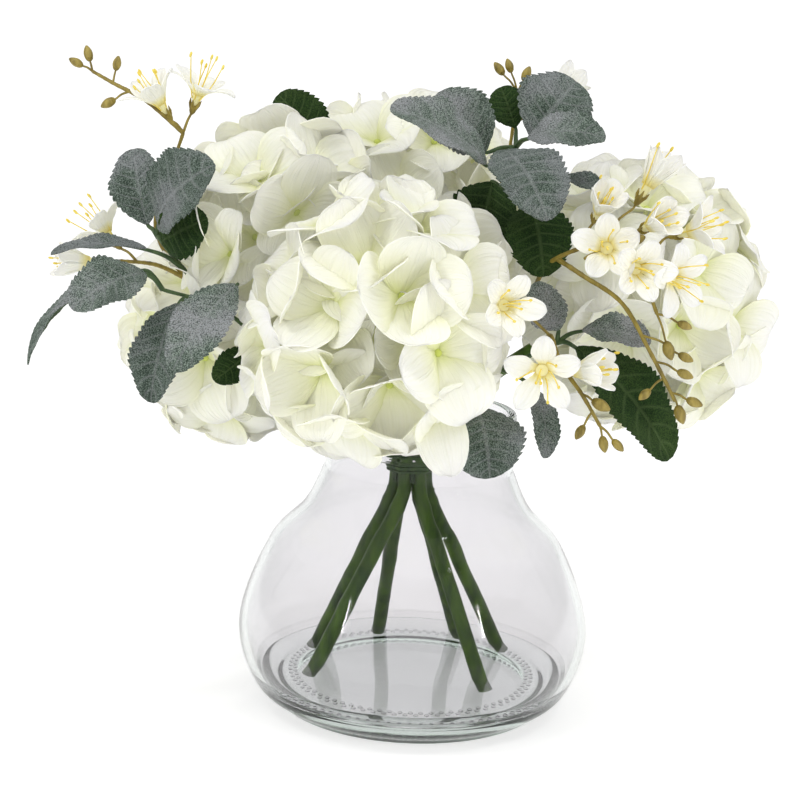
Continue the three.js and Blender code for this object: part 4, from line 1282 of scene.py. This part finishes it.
# %% Heads
def pressed_head(name, seed):
    centre = vec(HEADS[name]["centre"])
    rows = outer_florets(name) + inner_florets(name)
    source = points_object(
        f"{name}_places",
        [centre + row[0] * row[1] for row in rows],
        facing=[row[0] for row in rows],
        kind=[row[2] for row in rows],
        spin=[row[3] for row in rows],
        grow=[row[4] for row in rows],
        tone=[steady(13 * k + seed) for k in range(len(rows))],
    )
    head = head_tree.run(
        source, f"{name}_florets",
        Florets=floret_set, Floret_size=1.0, Lean=0.20, Seed=seed, Cloth=hydrangea_cloth,
    )
    core = core_tray(name).piece(f"{name}_core", [hydrangea_cloth])
    whole = joined([head, core], f"hydrangea_{name}_bloom")
    places = np.zeros(len(whole.data.vertices) * 3)
    whole.data.vertices.foreach_get("co", places)
    pressed = press_back(places.reshape(-1, 3) / MM, name)
    whole.data.vertices.foreach_set("co", (pressed * MM).ravel())
    whole.data.update()
    return whole


def clear_set(group):
    for kept in list(group.objects):
        bpy.data.objects.remove(kept)
    bpy.data.collections.remove(group)


for seed, name in enumerate(HEADS, start=1):
    hand_over(pressed_head(name, seed), "white_petals", f"hydrangea_{name}")
clear_set(floret_set)

# %% [markdown]
# ## One leaf
# The leaves are oval, folded a little along the midrib and curled along their length, with a
# finely toothed edge. The blade is a shell again: its rows run from root to tip and its
# columns from edge to edge. The teeth are cut into the outline row by row, and between the
# side veins the cloth is puffed up. `along` and `across` go with every point, so the leaf
# materials draw the veins exactly where the surface dips.

# %% Leaf blade
LEAF_ROWS, LEAF_COLUMNS = 121, 13
TEETH = 0.46  # teeth on each millimetre of a leaf's edge


def leaf_frame(root, tip, face):
    x = unit(vec(tip) - vec(root))
    y = unit(np.cross(vec(face), x))
    return np.column_stack([x, y, np.cross(x, y)])


def leaf_grid(root, tip, face, width, curl, key):
    """The upper side as a (rows, columns, 3) grid, and the along and across measures."""
    bend = math.radians(curl)
    length = np.linalg.norm(vec(tip) - vec(root)) * bend / (2 * math.sin(bend / 2))
    s = np.linspace(0.015, 1, LEAF_ROWS)[:, None]
    u = np.linspace(-1, 1, LEAF_COLUMNS)[None, :]
    teeth = TEETH * length * s + 0.25 * np.sign(u)
    edge = 1 - (0.10 * (teeth - np.floor(teeth)) ** 1.6) * np.abs(u) ** 3
    half = width / 2 * np.maximum(np.sin(math.pi * s**1.02), 0.01) ** (0.85 - 0.4 * s)
    side = u * half * edge
    angle = bend * s - bend / 2
    along = length * (np.sin(angle) + math.sin(bend / 2)) / bend
    up = length * (np.cos(angle) - math.cos(bend / 2)) / bend
    phase = VEINS * (s - VEIN_SLANT * np.abs(u) ** VEIN_BOW)
    puff = 0.45 * np.abs(np.cos(math.pi * phase)) * (1 - u**2) * np.minimum(1, half / 6)
    wave = 0.09 * half * np.sin(2 * math.pi * (2.1 * s + steady(key)) + 1.5 * np.sign(u)) * u**2
    fold = (0.22 + 0.1 * steady(key + 1)) * np.abs(side)
    sweep = 0.05 * length * (steady(key + 2) - 0.5) * np.sin(math.pi * s)
    height = up + fold + puff + wave
    grid = np.stack([along + 0 * u, side + sweep, height], -1)
    return grid @ leaf_frame(root, tip, face).T + vec(root), s + 0 * u, u + 0 * s


print("a leaf blade has", 2 * LEAF_ROWS * LEAF_COLUMNS, "points")

# %% A leaf on its stalk
FELT, BACK = 0, 1  # which side of a leaf shows
STALK = 2
LEAF_THICKNESS = 0.45
STALK_STEPS, STALK_SIDES = 22, 7


def add_leaf(tray, leaf, key):
    """The blade and, from the stem and on under the midrib, its stalk."""
    start, root, tip, face, width, curl, side = leaf
    grid, along, across = leaf_grid(root, tip, face, width, curl, key)
    points, groups = shell(grid, LEAF_THICKNESS)
    finish = (FELT, BACK, FELT) if side == FELT else (BACK, FELT, BACK)
    along, across = np.tile(along.ravel(), 2), np.tile(across.ravel(), 2)
    tray.add(points, groups, finish, along=along, across=across, hue=steady(key + 3))
    under = -0.7 * leaf_frame(root, tip, face)[:, 2]
    middle = grid[:, LEAF_COLUMNS // 2]
    path = [vec(start), 0.5 * (vec(start) + vec(root)) + [0, 0, 0.8], vec(root) + under]
    path += [middle[8] + under, middle[22] + 0.8 * under, middle[44] + 0.5 * under]
    radii = np.linspace(1.0, 0.28, STALK_STEPS)
    tray.add(*tube(smooth_path(path, STALK_STEPS), radii, STALK_SIDES), finish=STALK)


print("finishes of a leaf:", {"felt": FELT, "back": BACK, "stalk": STALK})

# %% [markdown]
# ## Leafy stems
# Each leafy stem comes up through the tape, branches, and carries its leaves on short stalks.
# A rule would scatter leaves evenly; these are listed one by one, because each of them can be
# told from the others in the photograph. The rows follow the CAD part, and a few leaves are
# moved by some millimetres or added where the finer shape shows more. A row says where the
# leaf's stalk starts, the blade's root and tip, the way its face looks, its width, how far it
# curls, and the side that shows.

# %% Where the leaves are
LEAFY_STEMS = {
    "left": {
        "tie": (215, "picks"),
        "line": [(-30, -19, 128), (-56, -36, 146), (-75, -57, 165), (-94, -62, 171)],
        "forks": [[(-75, -57, 165), (-88, -54, 178), (-98, -47, 188)]],
        "leaves": [
            ((-94, -62, 171), (-100, -62, 178), (-141, -66, 143), (-0.75, -0.3, 0.6), 15, 70, FELT),
            ((-94, -62, 171), (-99, -66, 177), (-122, -84, 166), (0, -0.7, 0.7), 22, 60, FELT),
            ((-84, -59, 168), (-88, -64, 167), (-96, -72, 132), (-0.55, -0.9, 0.1), 23, 40, FELT),
            ((-75, -57, 165), (-66, -77, 176), (-86, -91, 147), (-0.1, -1, 0.4), 20, 50, FELT),
            ((-56, -36, 146), (-63, -42, 148), (-77, -46, 136), (0.5, -1, 0.6), 13, 30, BACK),
            ((-88, -54, 178), (-100, -58, 185), (-134, -60, 182), (0, -0.3, 1), 12, 30, FELT),
            ((-98, -47, 188), (-102, -46, 192), (-108, -40, 219), (-0.2, -1, 0.1), 21, 30, FELT),
            ((-98, -47, 188), (-98, -50, 193), (-75, -72, 216), (-0.35, -0.8, 0.35), 29, 45, FELT),
            ((-98, -47, 188), (-96, -54, 187), (-78, -66, 197), (-0.1, -1, 0.2), 21, 25, BACK),
        ],
    },
    "top_left": {
        "tie": (210, "inner"),
        "line": [(-18, 4, 136), (-34, 4, 176), (-40, 4, 212)],
        "forks": [],
        "leaves": [
            ((-40, 4, 212), (-40, 4, 220), (-60, 6, 240), (-0.3, -1, 0.2), 22, 30, BACK),
            ((-40, 4, 212), (-46, 12, 220), (-74, 24, 222), (-0.3, 0.2, 1), 22, 40, FELT),
        ],
    },
    "top": {
        "tie": (330, "inner"),
        "line": [(10, -7, 150), (23, -14, 182), (29, -20, 206), (31, -20, 224)],
        "forks": [],
        "leaves": [
            ((31, -20, 224), (20, -36, 218), (-16, -50, 237), (0.2, -0.6, 0.8), 25, 45, FELT),
            ((31, -20, 224), (20, -24, 222), (0, -28, 242), (0.3, -1, 0.3), 26, 35, FELT),
            ((31, -20, 224), (31, -14, 231), (25, -8, 246), (-0.2, -1, 0.3), 15, 25, BACK),
            ((31, -20, 224), (36, -20, 228), (53, -12, 249), (-0.2, -1, 0.4), 31, 40, FELT),
            ((31, -20, 224), (34, -32, 228), (62, -40, 229), (0, -0.7, 0.8), 19, 50, FELT),
            ((29, -20, 206), (25, -44, 224), (40, -70, 201), (0.2, -0.8, 0.6), 29, 50, FELT),
            ((29, -20, 206), (22, -34, 212), (14, -44, 184), (0.2, -1, 0.1), 30, 25, BACK),
            ((29, -20, 206), (36, -42, 206), (41, -56, 180), (0, -1, 0.2), 25, 30, BACK),
            ((29, -20, 206), (46, -29, 214), (70, -33, 206), (0.3, -0.5, 1), 13, 40, FELT),
        ],
    },
    "right": {
        "tie": (275, "picks"),
        "line": [(7, -30, 131), (28, -42, 144), (48, -46, 155)],
        "forks": [[(7, -30, 131), (16, -48, 137), (22, -63, 138)]],
        "leaves": [
            ((48, -46, 155), (54, -52, 155), (89, -64, 117), (0.4, -0.9, 0.4), 25, 40, BACK),
            ((48, -46, 155), (48, -50, 160), (38, -56, 178), (-0.2, -1, 0.2), 15, 30, FELT),
            ((48, -46, 155), (56, -52, 161), (80, -60, 158), (0.2, -0.6, 0.8), 17, 40, FELT),
            ((22, -63, 138), (19, -71, 135), (24, -79, 111), (0.1, -1, 0.2), 28, 45, FELT),
            ((28, -42, 144), (39, -62, 141), (44, -70, 117), (0.6, -1, 0.2), 12, 40, FELT),
        ],
    },
    "back_right": {
        "tie": (35, "picks"),
        "line": [(20, 20, 136), (38, 42, 156), (50, 60, 172)],
        "forks": [],
        "leaves": [
            ((50, 60, 172), (54, 64, 177), (66, 80, 204), (0.5, 0.8, -0.2), 25, 40, FELT),
            ((50, 60, 172), (56, 64, 170), (92, 74, 166), (0.2, 0.8, 0.6), 24, 45, FELT),
            ((50, 60, 172), (50, 66, 168), (52, 90, 138), (0.2, 0.8, 0.5), 25, 45, FELT),
            ((38, 42, 156), (32, 58, 132), (22, 82, 112), (0, 0.8, 0.5), 22, 45, FELT),
        ],
    },
    "back_left": {
        "tie": (95, "picks"),
        "line": [(-22, 24, 134), (-44, 46, 148), (-60, 62, 152)],
        "forks": [],
        "leaves": [
            ((-60, 62, 152), (-66, 66, 157), (-88, 80, 184), (-0.6, 0.8, -0.1), 25, 40, FELT),
            ((-60, 62, 152), (-68, 66, 150), (-102, 76, 136), (-0.4, 0.8, 0.6), 24, 45, FELT),
            ((-60, 62, 152), (-60, 70, 148), (-56, 92, 120), (0, 0.8, 0.5), 25, 45, FELT),
        ],
    },
}
print("leaves:", {name: len(stem["leaves"]) for name, stem in LEAFY_STEMS.items()})

# %% Leafy stems
BRANCH_STEPS, BRANCH_SIDES = 60, 9
LEAFY_RADIUS = 0.85


def branch_lines(stem):
    """The stem's own line, from the tie where it has one, and its side branches."""
    start = []
    if stem["tie"]:
        angle, ring_name = stem["tie"]
        start = [at_tie(angle, TIE[ring_name], z) for z in (TIE["low"] - 4, TIE["high"] + 4)]
    return [[*start, *stem["line"]], *stem["forks"]]


def branch_bars(name, stem, radius, skin):
    """Geometry Nodes sweep each line, a little thicker at its knots and thinner at its end."""
    bars = []
    for k, points in enumerate(branch_lines(stem)):
        share = np.linspace(0, 1, BRANCH_STEPS)
        thickness = 1.12 - 0.34 * share + 0.12 * np.sin(40 * share) ** 8
        source = line_object(f"{name}_line_{k}", smooth_path(points, BRANCH_STEPS), thickness)
        bars.append(stem_tree.run(
            source, f"{name}_bar_{k}",
            Stem_radius=radius * MM, Sides=BRANCH_SIDES, Roughness_depth=0.25 * MM, Skin=skin,
        ))
    return bars


def leafy_stem(name, stem):
    tray = Tray("along", "across", "hue")
    for k, leaf in enumerate(stem["leaves"]):
        add_leaf(tray, leaf, 10 * k + len(name))
    blades = tray.piece(f"{name}_blades", [leaf_felt, leaf_back, leaf_stalk])
    return joined([blades, *branch_bars(name, stem, LEAFY_RADIUS, leaf_stalk)], f"{name}_leaves")


for name, stem in LEAFY_STEMS.items():
    hand_over(leafy_stem(f"leafy_stem_{name}", stem), "grey_leaves", f"leafy_stem_{name}")


# %% [markdown]
# ## One small blossom
# The sprays carry blossoms with five spoon-shaped petals on a short tube, a yellow throat and
# a brush of long yellow stamens. Three kinds are made: wide open, half open and nearly closed.
# `part` numbers what each point belongs to: petals 0, stamens 1, calyx and stalk 2. Geometry
# Nodes read it to give every face its material after the instances are made real.

# %% A petal of a blossom
# The slope of a petal's midline at its foot and at its end, in degrees.
BLOSSOM_KINDS = [
    {"start": 52, "end": -4},
    {"start": 66, "end": 24},
    {"start": 78, "end": 62},
]
BLOSSOM_PETAL, BLOSSOM_HALF = 14.0, 4.5  # length and half of the width of a petal
BLOSSOM_ROWS, BLOSSOM_COLUMNS = 13, 9
BLOSSOM_THICKNESS = 0.32
TUBE_LENGTH, THROAT_RADIUS = 7.0, 1.7


def spoon_petal(kind, key):
    k = BLOSSOM_KINDS[kind]
    length = BLOSSOM_PETAL * (0.92 + 0.14 * steady(key))
    s = np.sin(np.linspace(0, math.pi / 2, BLOSSOM_ROWS))[:, None]
    u = np.linspace(-1, 1, BLOSSOM_COLUMNS)[None, :]
    out, up = bend_along(length * s, k["start"], k["end"] + 16 * (steady(key + 1) - 0.5), length)
    swell = 0.30 + 0.70 * np.sin(math.pi / 2 * np.minimum(1, s / 0.60)) ** 2
    beside = swell * np.sqrt(np.maximum(1 - s**3.6, 0.003)) * u
    side = BLOSSOM_HALF * beside
    channel = 0.9 * np.abs(beside) ** 1.6 * np.minimum(1, 2 * s)
    pleat = 0.14 * np.cos(9 * beside) * s
    rim = 0.5 * np.sin(3 * beside + 6 * steady(key + 2)) * s**3
    twist = 0.10 * side * (steady(key + 3) - 0.3) * s
    lift = TUBE_LENGTH - 0.6 + up + channel + pleat + rim + twist
    top = np.stack([THROAT_RADIUS + out + 0 * u, side, lift], -1)
    points, groups = shell(top, BLOSSOM_THICKNESS)
    reach = (s + 0 * u).ravel()
    strand = (0.45 * u + 0 * s).ravel() + 3 * steady(key + 4)
    return points, groups, np.tile(reach, 2), np.tile(strand, 2)


print("a petal of a blossom has", len(spoon_petal(0, 30)[0]), "points")

# %% A whole blossom
PETALS, STAMENS, CALYX = 0, 1, 2


def add_stamens(tray, kind):
    """A pistil in the middle, number 0, and five stamens that lean out round it."""
    for k in range(6):
        around = math.radians(60 * k + 25 * steady(kind + k))
        lean = (0.10 + 0.30 * steady(3 * kind + k)) if k else 0.02
        way = vec([lean * math.cos(around), lean * math.sin(around), 1])
        length = TUBE_LENGTH + (9.5 + 3.0 * steady(5 * kind + k) if k else 13.5)
        bow = vec([math.cos(around + 1), math.sin(around + 1), 0]) * 0.7
        path = [way * 4.5, way * 0.55 * length + bow, way * length]
        tray.add(*tube(smooth_path(path, 7), np.linspace(0.27, 0.20, 7), 5), part=STAMENS)
        anther = way * length + unit([way[0], way[1], 0.4]) * 0.2
        ends = [anther + [0, 0, rise] for rise in (-0.9, -0.3, 0.6, 1.1)]
        tray.add(*tube(ends, [0.25, 0.50, 0.48, 0.2], 6), part=STAMENS)


def add_calyx(tray):
    """The green cup under the tube, with five small pointed sepals."""
    cup = [[0, 0, z] for z in (-1.2, -0.2, 1.2, 2.4)]
    tray.add(*tube(cup, [0.6, 1.15, 1.5, 1.3], 9), part=CALYX)
    for k in range(5):
        around = math.radians(72 * k + 36)
        out = vec([math.cos(around), math.sin(around), 0])
        sepal = [out * radius + [0, 0, z] for radius, z in ((1.0, 1.0), (1.75, 2.6), (2.1, 4.4))]
        tray.add(*tube(sepal, [0.6, 0.55, 0.15], 5), part=CALYX)


def blossom_tray(kind):
    tray = Tray("reach", "strand", "part")
    for k in range(5):
        points, groups, reach, strand = spoon_petal(kind, 30 + 10 * kind + k)
        turn = math.radians(72 * k + 9 * (steady(kind + 11 * k) - 0.5) + 3)
        spun = points @ np.array(Matrix.Rotation(turn, 3, "Z")).T
        tray.add(spun, groups, reach=reach, strand=strand, part=PETALS)
    throat = [[0, 0, z] for z in (1.5, 3, 5, TUBE_LENGTH)]
    tray.add(*tube(throat, [1.0, 1.25, 1.6, 2.1], 12), reach=0.16, part=PETALS)
    add_calyx(tray)
    add_stamens(tray, kind)
    return tray


blossom_set = hidden_set(
    "blossoms", [blossom_tray(kind).mesh(f"blossom_{kind}", []) for kind in range(len(BLOSSOM_KINDS))]
)

# %% [markdown]
# ## The tree for blossoms
# It shares the part that picks, turns and scales with the hydrangea heads. After Realize
# Instances, each Set Material takes only the faces whose `part` is its own number.

# %% Blossom tree
blossom_tree = NodeRecipe(
    "spray_blossoms",
    ("Blossoms", "Collection"), ("Blossom size", "Float"), ("Lean", "Float"), ("Seed", "Int"),
    ("Petals", "Material"), ("Stamens", "Material"), ("Calyx", "Material"),
)
flow = blossom_tree.start
placed = picked_instances(blossom_tree, flow["Seed"], flow["Lean"], flow["Blossoms"], flow["Blossom size"])
whole = blossom_tree.realized(placed)
for number, label in ((PETALS, "Petals"), (STAMENS, "Stamens"), (CALYX, "Calyx")):
    part = blossom_tree.add("GeometryNodeInputNamedAttribute", {"Name": "part"}, data_type="FLOAT")
    same = blossom_tree.add(
        "FunctionNodeCompare", {0: part.outputs["Attribute"], 1: float(number), "Epsilon": 0.1},
        data_type="FLOAT", operation="EQUAL",
    )
    whole = blossom_tree.dressed(whole, flow[label], same.outputs["Result"])
blossom_tree.feed(blossom_tree.end, whole)
print(blossom_tree.tree.name, "has", len(blossom_tree.tree.nodes), "nodes")

# %% [markdown]
# ## Sprays
# Each spray is a thin olive branch with side twigs. Blossoms and golden buds sit at the ends of
# the twigs, each bud of its own size. As with the leaves, every one of them can be told from
# the others in the photograph, so their places are lists and not a rule: for a blossom, where
# its twig starts, where it sits and the way it faces, and for a bud the first two.

# %% Where the blossoms and buds are
SPRAYS = {
    "right": {
        "tie": None,
        "line": [
            (38.4, -25, 166.9), (41, -42, 179), (45, -58, 187),
            (59, -70, 193), (72, -76, 186), (79, -77, 171),
        ],
        "forks": [[(45, -58, 187), (54, -66, 182), (67, -72, 174), (78, -75, 157), (88, -73, 140)]],
        "blossoms": [
            ((52, -64, 191), (57, -62, 201), (0.1, -0.7, 0.6)),
            ((54, -66, 188), (61, -70, 192), (-0.15, -0.95, 0.05)),
            ((65, -73, 191), (72, -72, 199), (0.4, -0.75, 0.35)),
            ((72, -76, 186), (84, -66, 197), (0.8, -0.4, 0.3)),
            ((72, -76, 186), (79, -75, 185), (0.55, -0.75, -0.15)),
            ((59, -70, 193), (72, -60, 208), (0.5, -0.1, 0.9)),
            ((65, -73, 191), (68, -78, 187), (0.25, -0.95, 0.1)),
        ],
        "buds": [
            ((79, -77, 171), (87, -76, 168)),
            ((79, -77, 171), (83, -76, 161)),
            ((75, -75, 163), (88, -76, 157)),
            ((80, -75, 154), (88, -76, 151)),
            ((83, -74, 148), (78, -77, 144)),
            ((86, -73.5, 143), (92, -75, 141)),
            ((88, -73, 140.5), (89, -73, 138)),
            ((62, -71, 192), (69, -79, 196)),
        ],
    },
    "front": {
        "tie": None,
        "line": [(43.5, -46, 154.8), (44, -66, 160), (47, -78, 152), (54, -83, 143), (61, -83, 132)],
        "forks": [],
        "blossoms": [
            ((44, -66, 160), (23, -86, 173), (0.3, -0.9, 0.2)),
            ((45, -72, 157), (40, -82, 153), (-0.1, -1, -0.1)),
            ((47, -78, 152), (46, -81, 150), (0.8, -0.6, 0.1)),
        ],
        "buds": [
            ((54, -83, 143), (58, -84, 141)),
            ((58, -83, 137), (55, -85, 132)),
            ((61, -83, 132), (62, -83, 128)),
            ((61, -83, 132), (66, -83, 127)),
        ],
    },
    "left": {
        "tie": None,
        "line": [
            (-36.4, -21.6, 134), (-58, -32, 152), (-88, -38, 172),
            (-101, -33, 190), (-96, -29, 212), (-92, -28, 225),
        ],
        "forks": [
            [(-92, -28, 225), (-106, -26, 236), (-119, -22, 242), (-127, -20, 246)],
            [(-88, -38, 172), (-100, -38, 177), (-113, -38, 178)],
        ],
        "blossoms": [
            ((-92, -28, 225), (-97, -27, 230), (-0.5, -0.2, 0.8)),
            ((-92, -28, 225), (-89, -26, 233), (0.4, -0.1, 0.9)),
            ((-107, -38, 178), (-114, -36, 183), (-0.7, 0.1, 0.6)),
            ((-113, -38, 178), (-118, -40, 177), (-0.9, -0.2, 0)),
        ],
        "buds": [
            ((-127, -20, 246), (-131, -20, 248)),
            ((-127, -20, 246), (-128, -20, 250)),
            ((-119, -22, 242), (-118, -22, 247)),
            ((-113, -24, 239), (-118, -25, 236)),
        ],
    },
    "top": {
        "tie": (90, "inner"),
        "line": [(6, 1, 150), (20, 0, 184), (29, 2, 216), (32, 1, 244)],
        "forks": [],
        "blossoms": [
            ((31, 2, 232), (44, 4, 238), (0.5, 0.4, 0.7)),
        ],
        "buds": [
            ((32, 1, 244), (26, 0, 251)),
            ((32, 1, 244), (29, 0, 252)),
            ((32, 1, 244), (34, 0, 249)),
        ],
    },
    "back": {
        "tie": None,
        "line": [(33.2, 34, 152.5), (40, 50, 168), (46, 72, 182), (44, 92, 196)],
        "forks": [],
        "blossoms": [
            ((44, 92, 196), (42, 96, 200), (-0.1, 0.7, 0.7)),
            ((46, 72, 182), (28, 96, 186), (-0.4, 0.9, 0.2)),
            ((46, 72, 182), (40, 90, 172), (0, 1, -0.3)),
        ],
        "buds": [
            ((44, 92, 196), (48, 98, 200)),
            ((46, 72, 182), (50, 92, 184)),
        ],
    },
}
for label in ("blossoms", "buds"):
    print(label + ":", {name: len(one[label]) for name, one in SPRAYS.items()})

# %% Twigs and buds
TWIG, BUD = 0, 1
TWIG_STEPS, TWIG_SIDES = 12, 6
BUD_LENGTH, BUD_RADIUS = 6.6, 2.0


def add_twig(tray, start, end, way, thick):
    """A side twig that leaves the branch and turns into the way of what it carries."""
    start, end = vec(start), vec(end)
    reach = np.linalg.norm(end - start)
    path = [start, 0.5 * (start + end) + [0, 0, 0.08 * reach], end - 0.12 * reach * unit(way), end]
    radii = np.linspace(thick, 0.8 * thick, TWIG_STEPS)
    tray.add(*tube(smooth_path(path, TWIG_STEPS), radii, TWIG_SIDES), finish=TWIG)


def add_bud(tray, start, at, size):
    """A twig, the bud at its end, and the small cup that the bud sits in."""
    way = unit(vec(at) - vec(start))
    add_twig(tray, start, at, way, 0.45)
    rows = np.linspace(0, 1, 9)
    path = vec(at) + np.outer(rows * BUD_LENGTH * size - 0.3, way)
    radii = size * BUD_RADIUS * np.sin(math.pi * np.clip(0.04 + 0.93 * rows**0.85, 0, 1)) ** 0.7
    tray.add(*tube(path, np.maximum(radii, 0.25), 10), finish=BUD)
    tray.add(*tube(path[:3] - 0.1 * way, size * vec([0.8, 1.5, 1.75]), 8), finish=TWIG)


print("a bud of full size is", BUD_LENGTH, "mm long and", 2 * BUD_RADIUS, "mm thick")

# %% Sprays
SPRAY_RADIUS = 0.80


def spray_twigs(name, one, seed):
    tray = Tray()
    for start, at, way in one["blossoms"]:
        add_twig(tray, start, at, way, 0.55)
    for k, (start, at) in enumerate(one["buds"]):
        add_bud(tray, start, at, 1.05 - 0.25 * steady(k + seed))
    return tray.piece(f"{name}_twigs", [olive_twig, bud_gold])


def spray_blossoms(name, one, seed):
    count = len(one["blossoms"])
    source = points_object(
        f"{name}_places",
        [at for _, at, _ in one["blossoms"]],
        facing=[unit(way) for *_, way in one["blossoms"]],
        kind=[int(2.7 * steady(k + 3 * seed)) for k in range(count)],
        spin=[FULL_TURN * steady(k + 5 * seed) for k in range(count)],
        grow=[0.94 + 0.12 * steady(k + 7 * seed) for k in range(count)],
        tone=[steady(k + 9 * seed) for k in range(count)],
    )
    return blossom_tree.run(
        source, f"{name}_blossoms",
        Blossoms=blossom_set, Blossom_size=1.0, Lean=0.1, Seed=seed,
        Petals=blossom_cloth, Stamens=stamen_yellow, Calyx=olive_twig,
    )


def spray(name, one, seed):
    bars = branch_bars(name, one, SPRAY_RADIUS, olive_twig)
    parts = [spray_twigs(name, one, seed), *bars, spray_blossoms(name, one, seed)]
    return joined(parts, f"{name}_twigs_and_blossoms")


for seed, (name, one) in enumerate(SPRAYS.items(), start=1):
    hand_over(spray(f"spray_{name}", one, seed), "blossom_spray", f"spray_{name}")
clear_set(blossom_set)

# %% [markdown]
# ## Studio
# The object stands on a plain pale floor that sweeps up into a low round wall far behind it,
# so there is no horizon. The floor glows a little, like a white acrylic table that is lit from
# below, so the glass is lit from under it too. Floor, wall and sky are white behind the object
# and dimmer to the sides and on the camera's side: glass mirrors what is in front of it, so a
# dim room there keeps it clear, and dim sides draw the thin grey outline of the vase.

# %% Floor
BRIGHT_REACH = 1.1  # metres from the object, sideways and forward, where the dimming begins
FLOOR_HEIGHT = -0.4  # mm
BEND_FROM, BEND_RADIUS = 2200, 700  # where the floor starts to sweep up, and how widely


def plain_stage(name, colour, dim_colour, glow, dim_share):
    """Pale and glowing behind the object, plainer towards the front and the sides."""
    recipe = Recipe(name)
    spot = recipe.add("ShaderNodeSeparateXYZ", {0: recipe.place(1.0)})
    aside = recipe.maths("SUBTRACT", recipe.maths("ABSOLUTE", spot.outputs["X"]), BRIGHT_REACH)
    sideways = recipe.maths("MULTIPLY", recipe.maths("MAXIMUM", aside), 0.8)
    forward = recipe.maths("SUBTRACT", recipe.maths("MULTIPLY", spot.outputs["Y"], -1.0), BRIGHT_REACH)
    near = recipe.maths("MULTIPLY", recipe.maths("MAXIMUM", forward), 1.2)
    dimness = recipe.maths("MINIMUM", recipe.maths("ADD", sideways, near), 1.0)
    recipe.colour(recipe.mix(dimness, colour, dim_colour))
    light = recipe.mix(dimness, (glow,) * 3, (glow * dim_share,) * 3)
    recipe.feed(recipe.shader.inputs["Emission Color"], light)
    recipe.finish(Roughness=0.9, Specular_IOR_Level=0.1, Emission_Strength=1.0)
    return recipe.material


def sweep_profile():
    flat = [[radius, FLOOR_HEIGHT] for radius in (0, 200, 500, 900, 1400, 1900, BEND_FROM)]
    bend = [
        [BEND_FROM + BEND_RADIUS * math.sin(a), BEND_RADIUS - BEND_RADIUS * math.cos(a) + FLOOR_HEIGHT]
        for a in np.linspace(0.1, 1.4, 14)
    ]
    outside = [[3000, 1300], [3010, 1300], [3010, -20], [0, -20]]
    return flat + bend + outside


tray = Tray()
tray.add(*lathe(sweep_profile(), 96))
pale = plain_stage("pale_floor", (0.58, 0.58, 0.575), (0.42, 0.42, 0.42), glow=0.64, dim_share=0.30)
floor = tray.piece("studio_floor", [pale])
print("floor:", len(floor.data.polygons), "faces")

# %% [markdown]
# Two small lamps high in front give the pair of bright strokes on the shoulder of the vase, two
# upright strips the long ones lower down, and a wide panel over the camera lights the petals.
# Lamps alone would leave the petals' shaded sides grey, so the sky gives soft light all round.

# %% Sky and lamps
UPWARD_AND_BACK = (0.0, 0.55, 0.83)


def studio_sky(front, back, strength):
    """White above and behind, `front` bright towards the camera's side."""
    sky = bpy.data.worlds.new("soft_sky")
    sky.use_nodes = True
    nodes, links = sky.node_tree.nodes, sky.node_tree.links
    where = nodes.new("ShaderNodeTexCoord")
    slope = nodes.new("ShaderNodeVectorMath")
    slope.operation = "DOT_PRODUCT"
    slope.inputs[1].default_value = UPWARD_AND_BACK
    links.new(where.outputs["Generated"], slope.inputs[0])
    ramp = nodes.new("ShaderNodeMapRange")
    for label, value in (("From Min", -0.35), ("From Max", 0.45), ("To Min", front), ("To Max", back)):
        ramp.inputs[label].default_value = value
    links.new(slope.outputs["Value"], ramp.inputs["Value"])
    links.new(ramp.outputs["Result"], nodes["Background"].inputs["Color"])
    nodes["Background"].inputs["Strength"].default_value = strength
    bpy.context.scene.world = sky


def softbox(name, place, aim, size, watts):
    lamp = bpy.data.lights.new(name, "AREA")
    lamp.shape = "RECTANGLE"
    lamp.size, lamp.size_y = size
    lamp.energy = watts
    made = bpy.data.objects.new(name, lamp)
    made.location = place
    made.rotation_euler = (Vector(aim) - Vector(place)).to_track_quat("-Z", "Y").to_euler()
    bpy.context.scene.collection.objects.link(made)


studio_sky(front=0.60, back=0.62, strength=1.0)
for side in (-1, 1):
    number, watts = side + 1, 2.7 - 0.3 * side
    softbox(f"top_lamp_{number}", (0.52 * side, -0.60, 1.42), (0, 0, 0.12), (0.06, 0.17), watts)
    softbox(f"strip_lamp_{number}", (1.35 * side, -1.25, 0.75), (0, 0, 0.08), (0.035, 0.40), 6)
softbox("front_panel", (-0.35, -1.35, 1.65), (0, 0, 0.16), (1.4, 1.0), 2.5)

# %% [markdown]
# ## Camera
# The photograph was taken from about the height of the topmost leaves, with a moderate
# telephoto that was tilted down by about eleven degrees and turned by two, so the vase leans
# slightly in the picture.

# %% Camera
FOCAL_LENGTH, SENSOR = 75.2, 36.0  # mm
CAMERA_PLACE = (-0.0085, -0.650, 0.245)  # metres
TILT, TURN = 10.64, 2.2  # degrees down, and about the line of sight

lens = bpy.data.cameras.new("photo_camera")
lens.lens = FOCAL_LENGTH
lens.sensor_width = SENSOR
lens.clip_start = 0.01
lens.clip_end = 20.0
camera = bpy.data.objects.new("photo_camera", lens)
pitch, roll = math.radians(90 - TILT), math.radians(TURN)
turned = Matrix.Rotation(pitch, 4, "X") @ Matrix.Rotation(roll, 4, "Z")
camera.matrix_world = Matrix.Translation(CAMERA_PLACE) @ turned
bpy.context.scene.collection.objects.link(camera)
bpy.context.scene.camera = camera
bpy.context.scene.view_settings.view_transform = "Standard"
print("camera:", FOCAL_LENGTH, "mm lens at", CAMERA_PLACE)

# %% [markdown]
# ## The end
# The dressed object has to stay in the CAD box, give or take a few millimetres of petal.
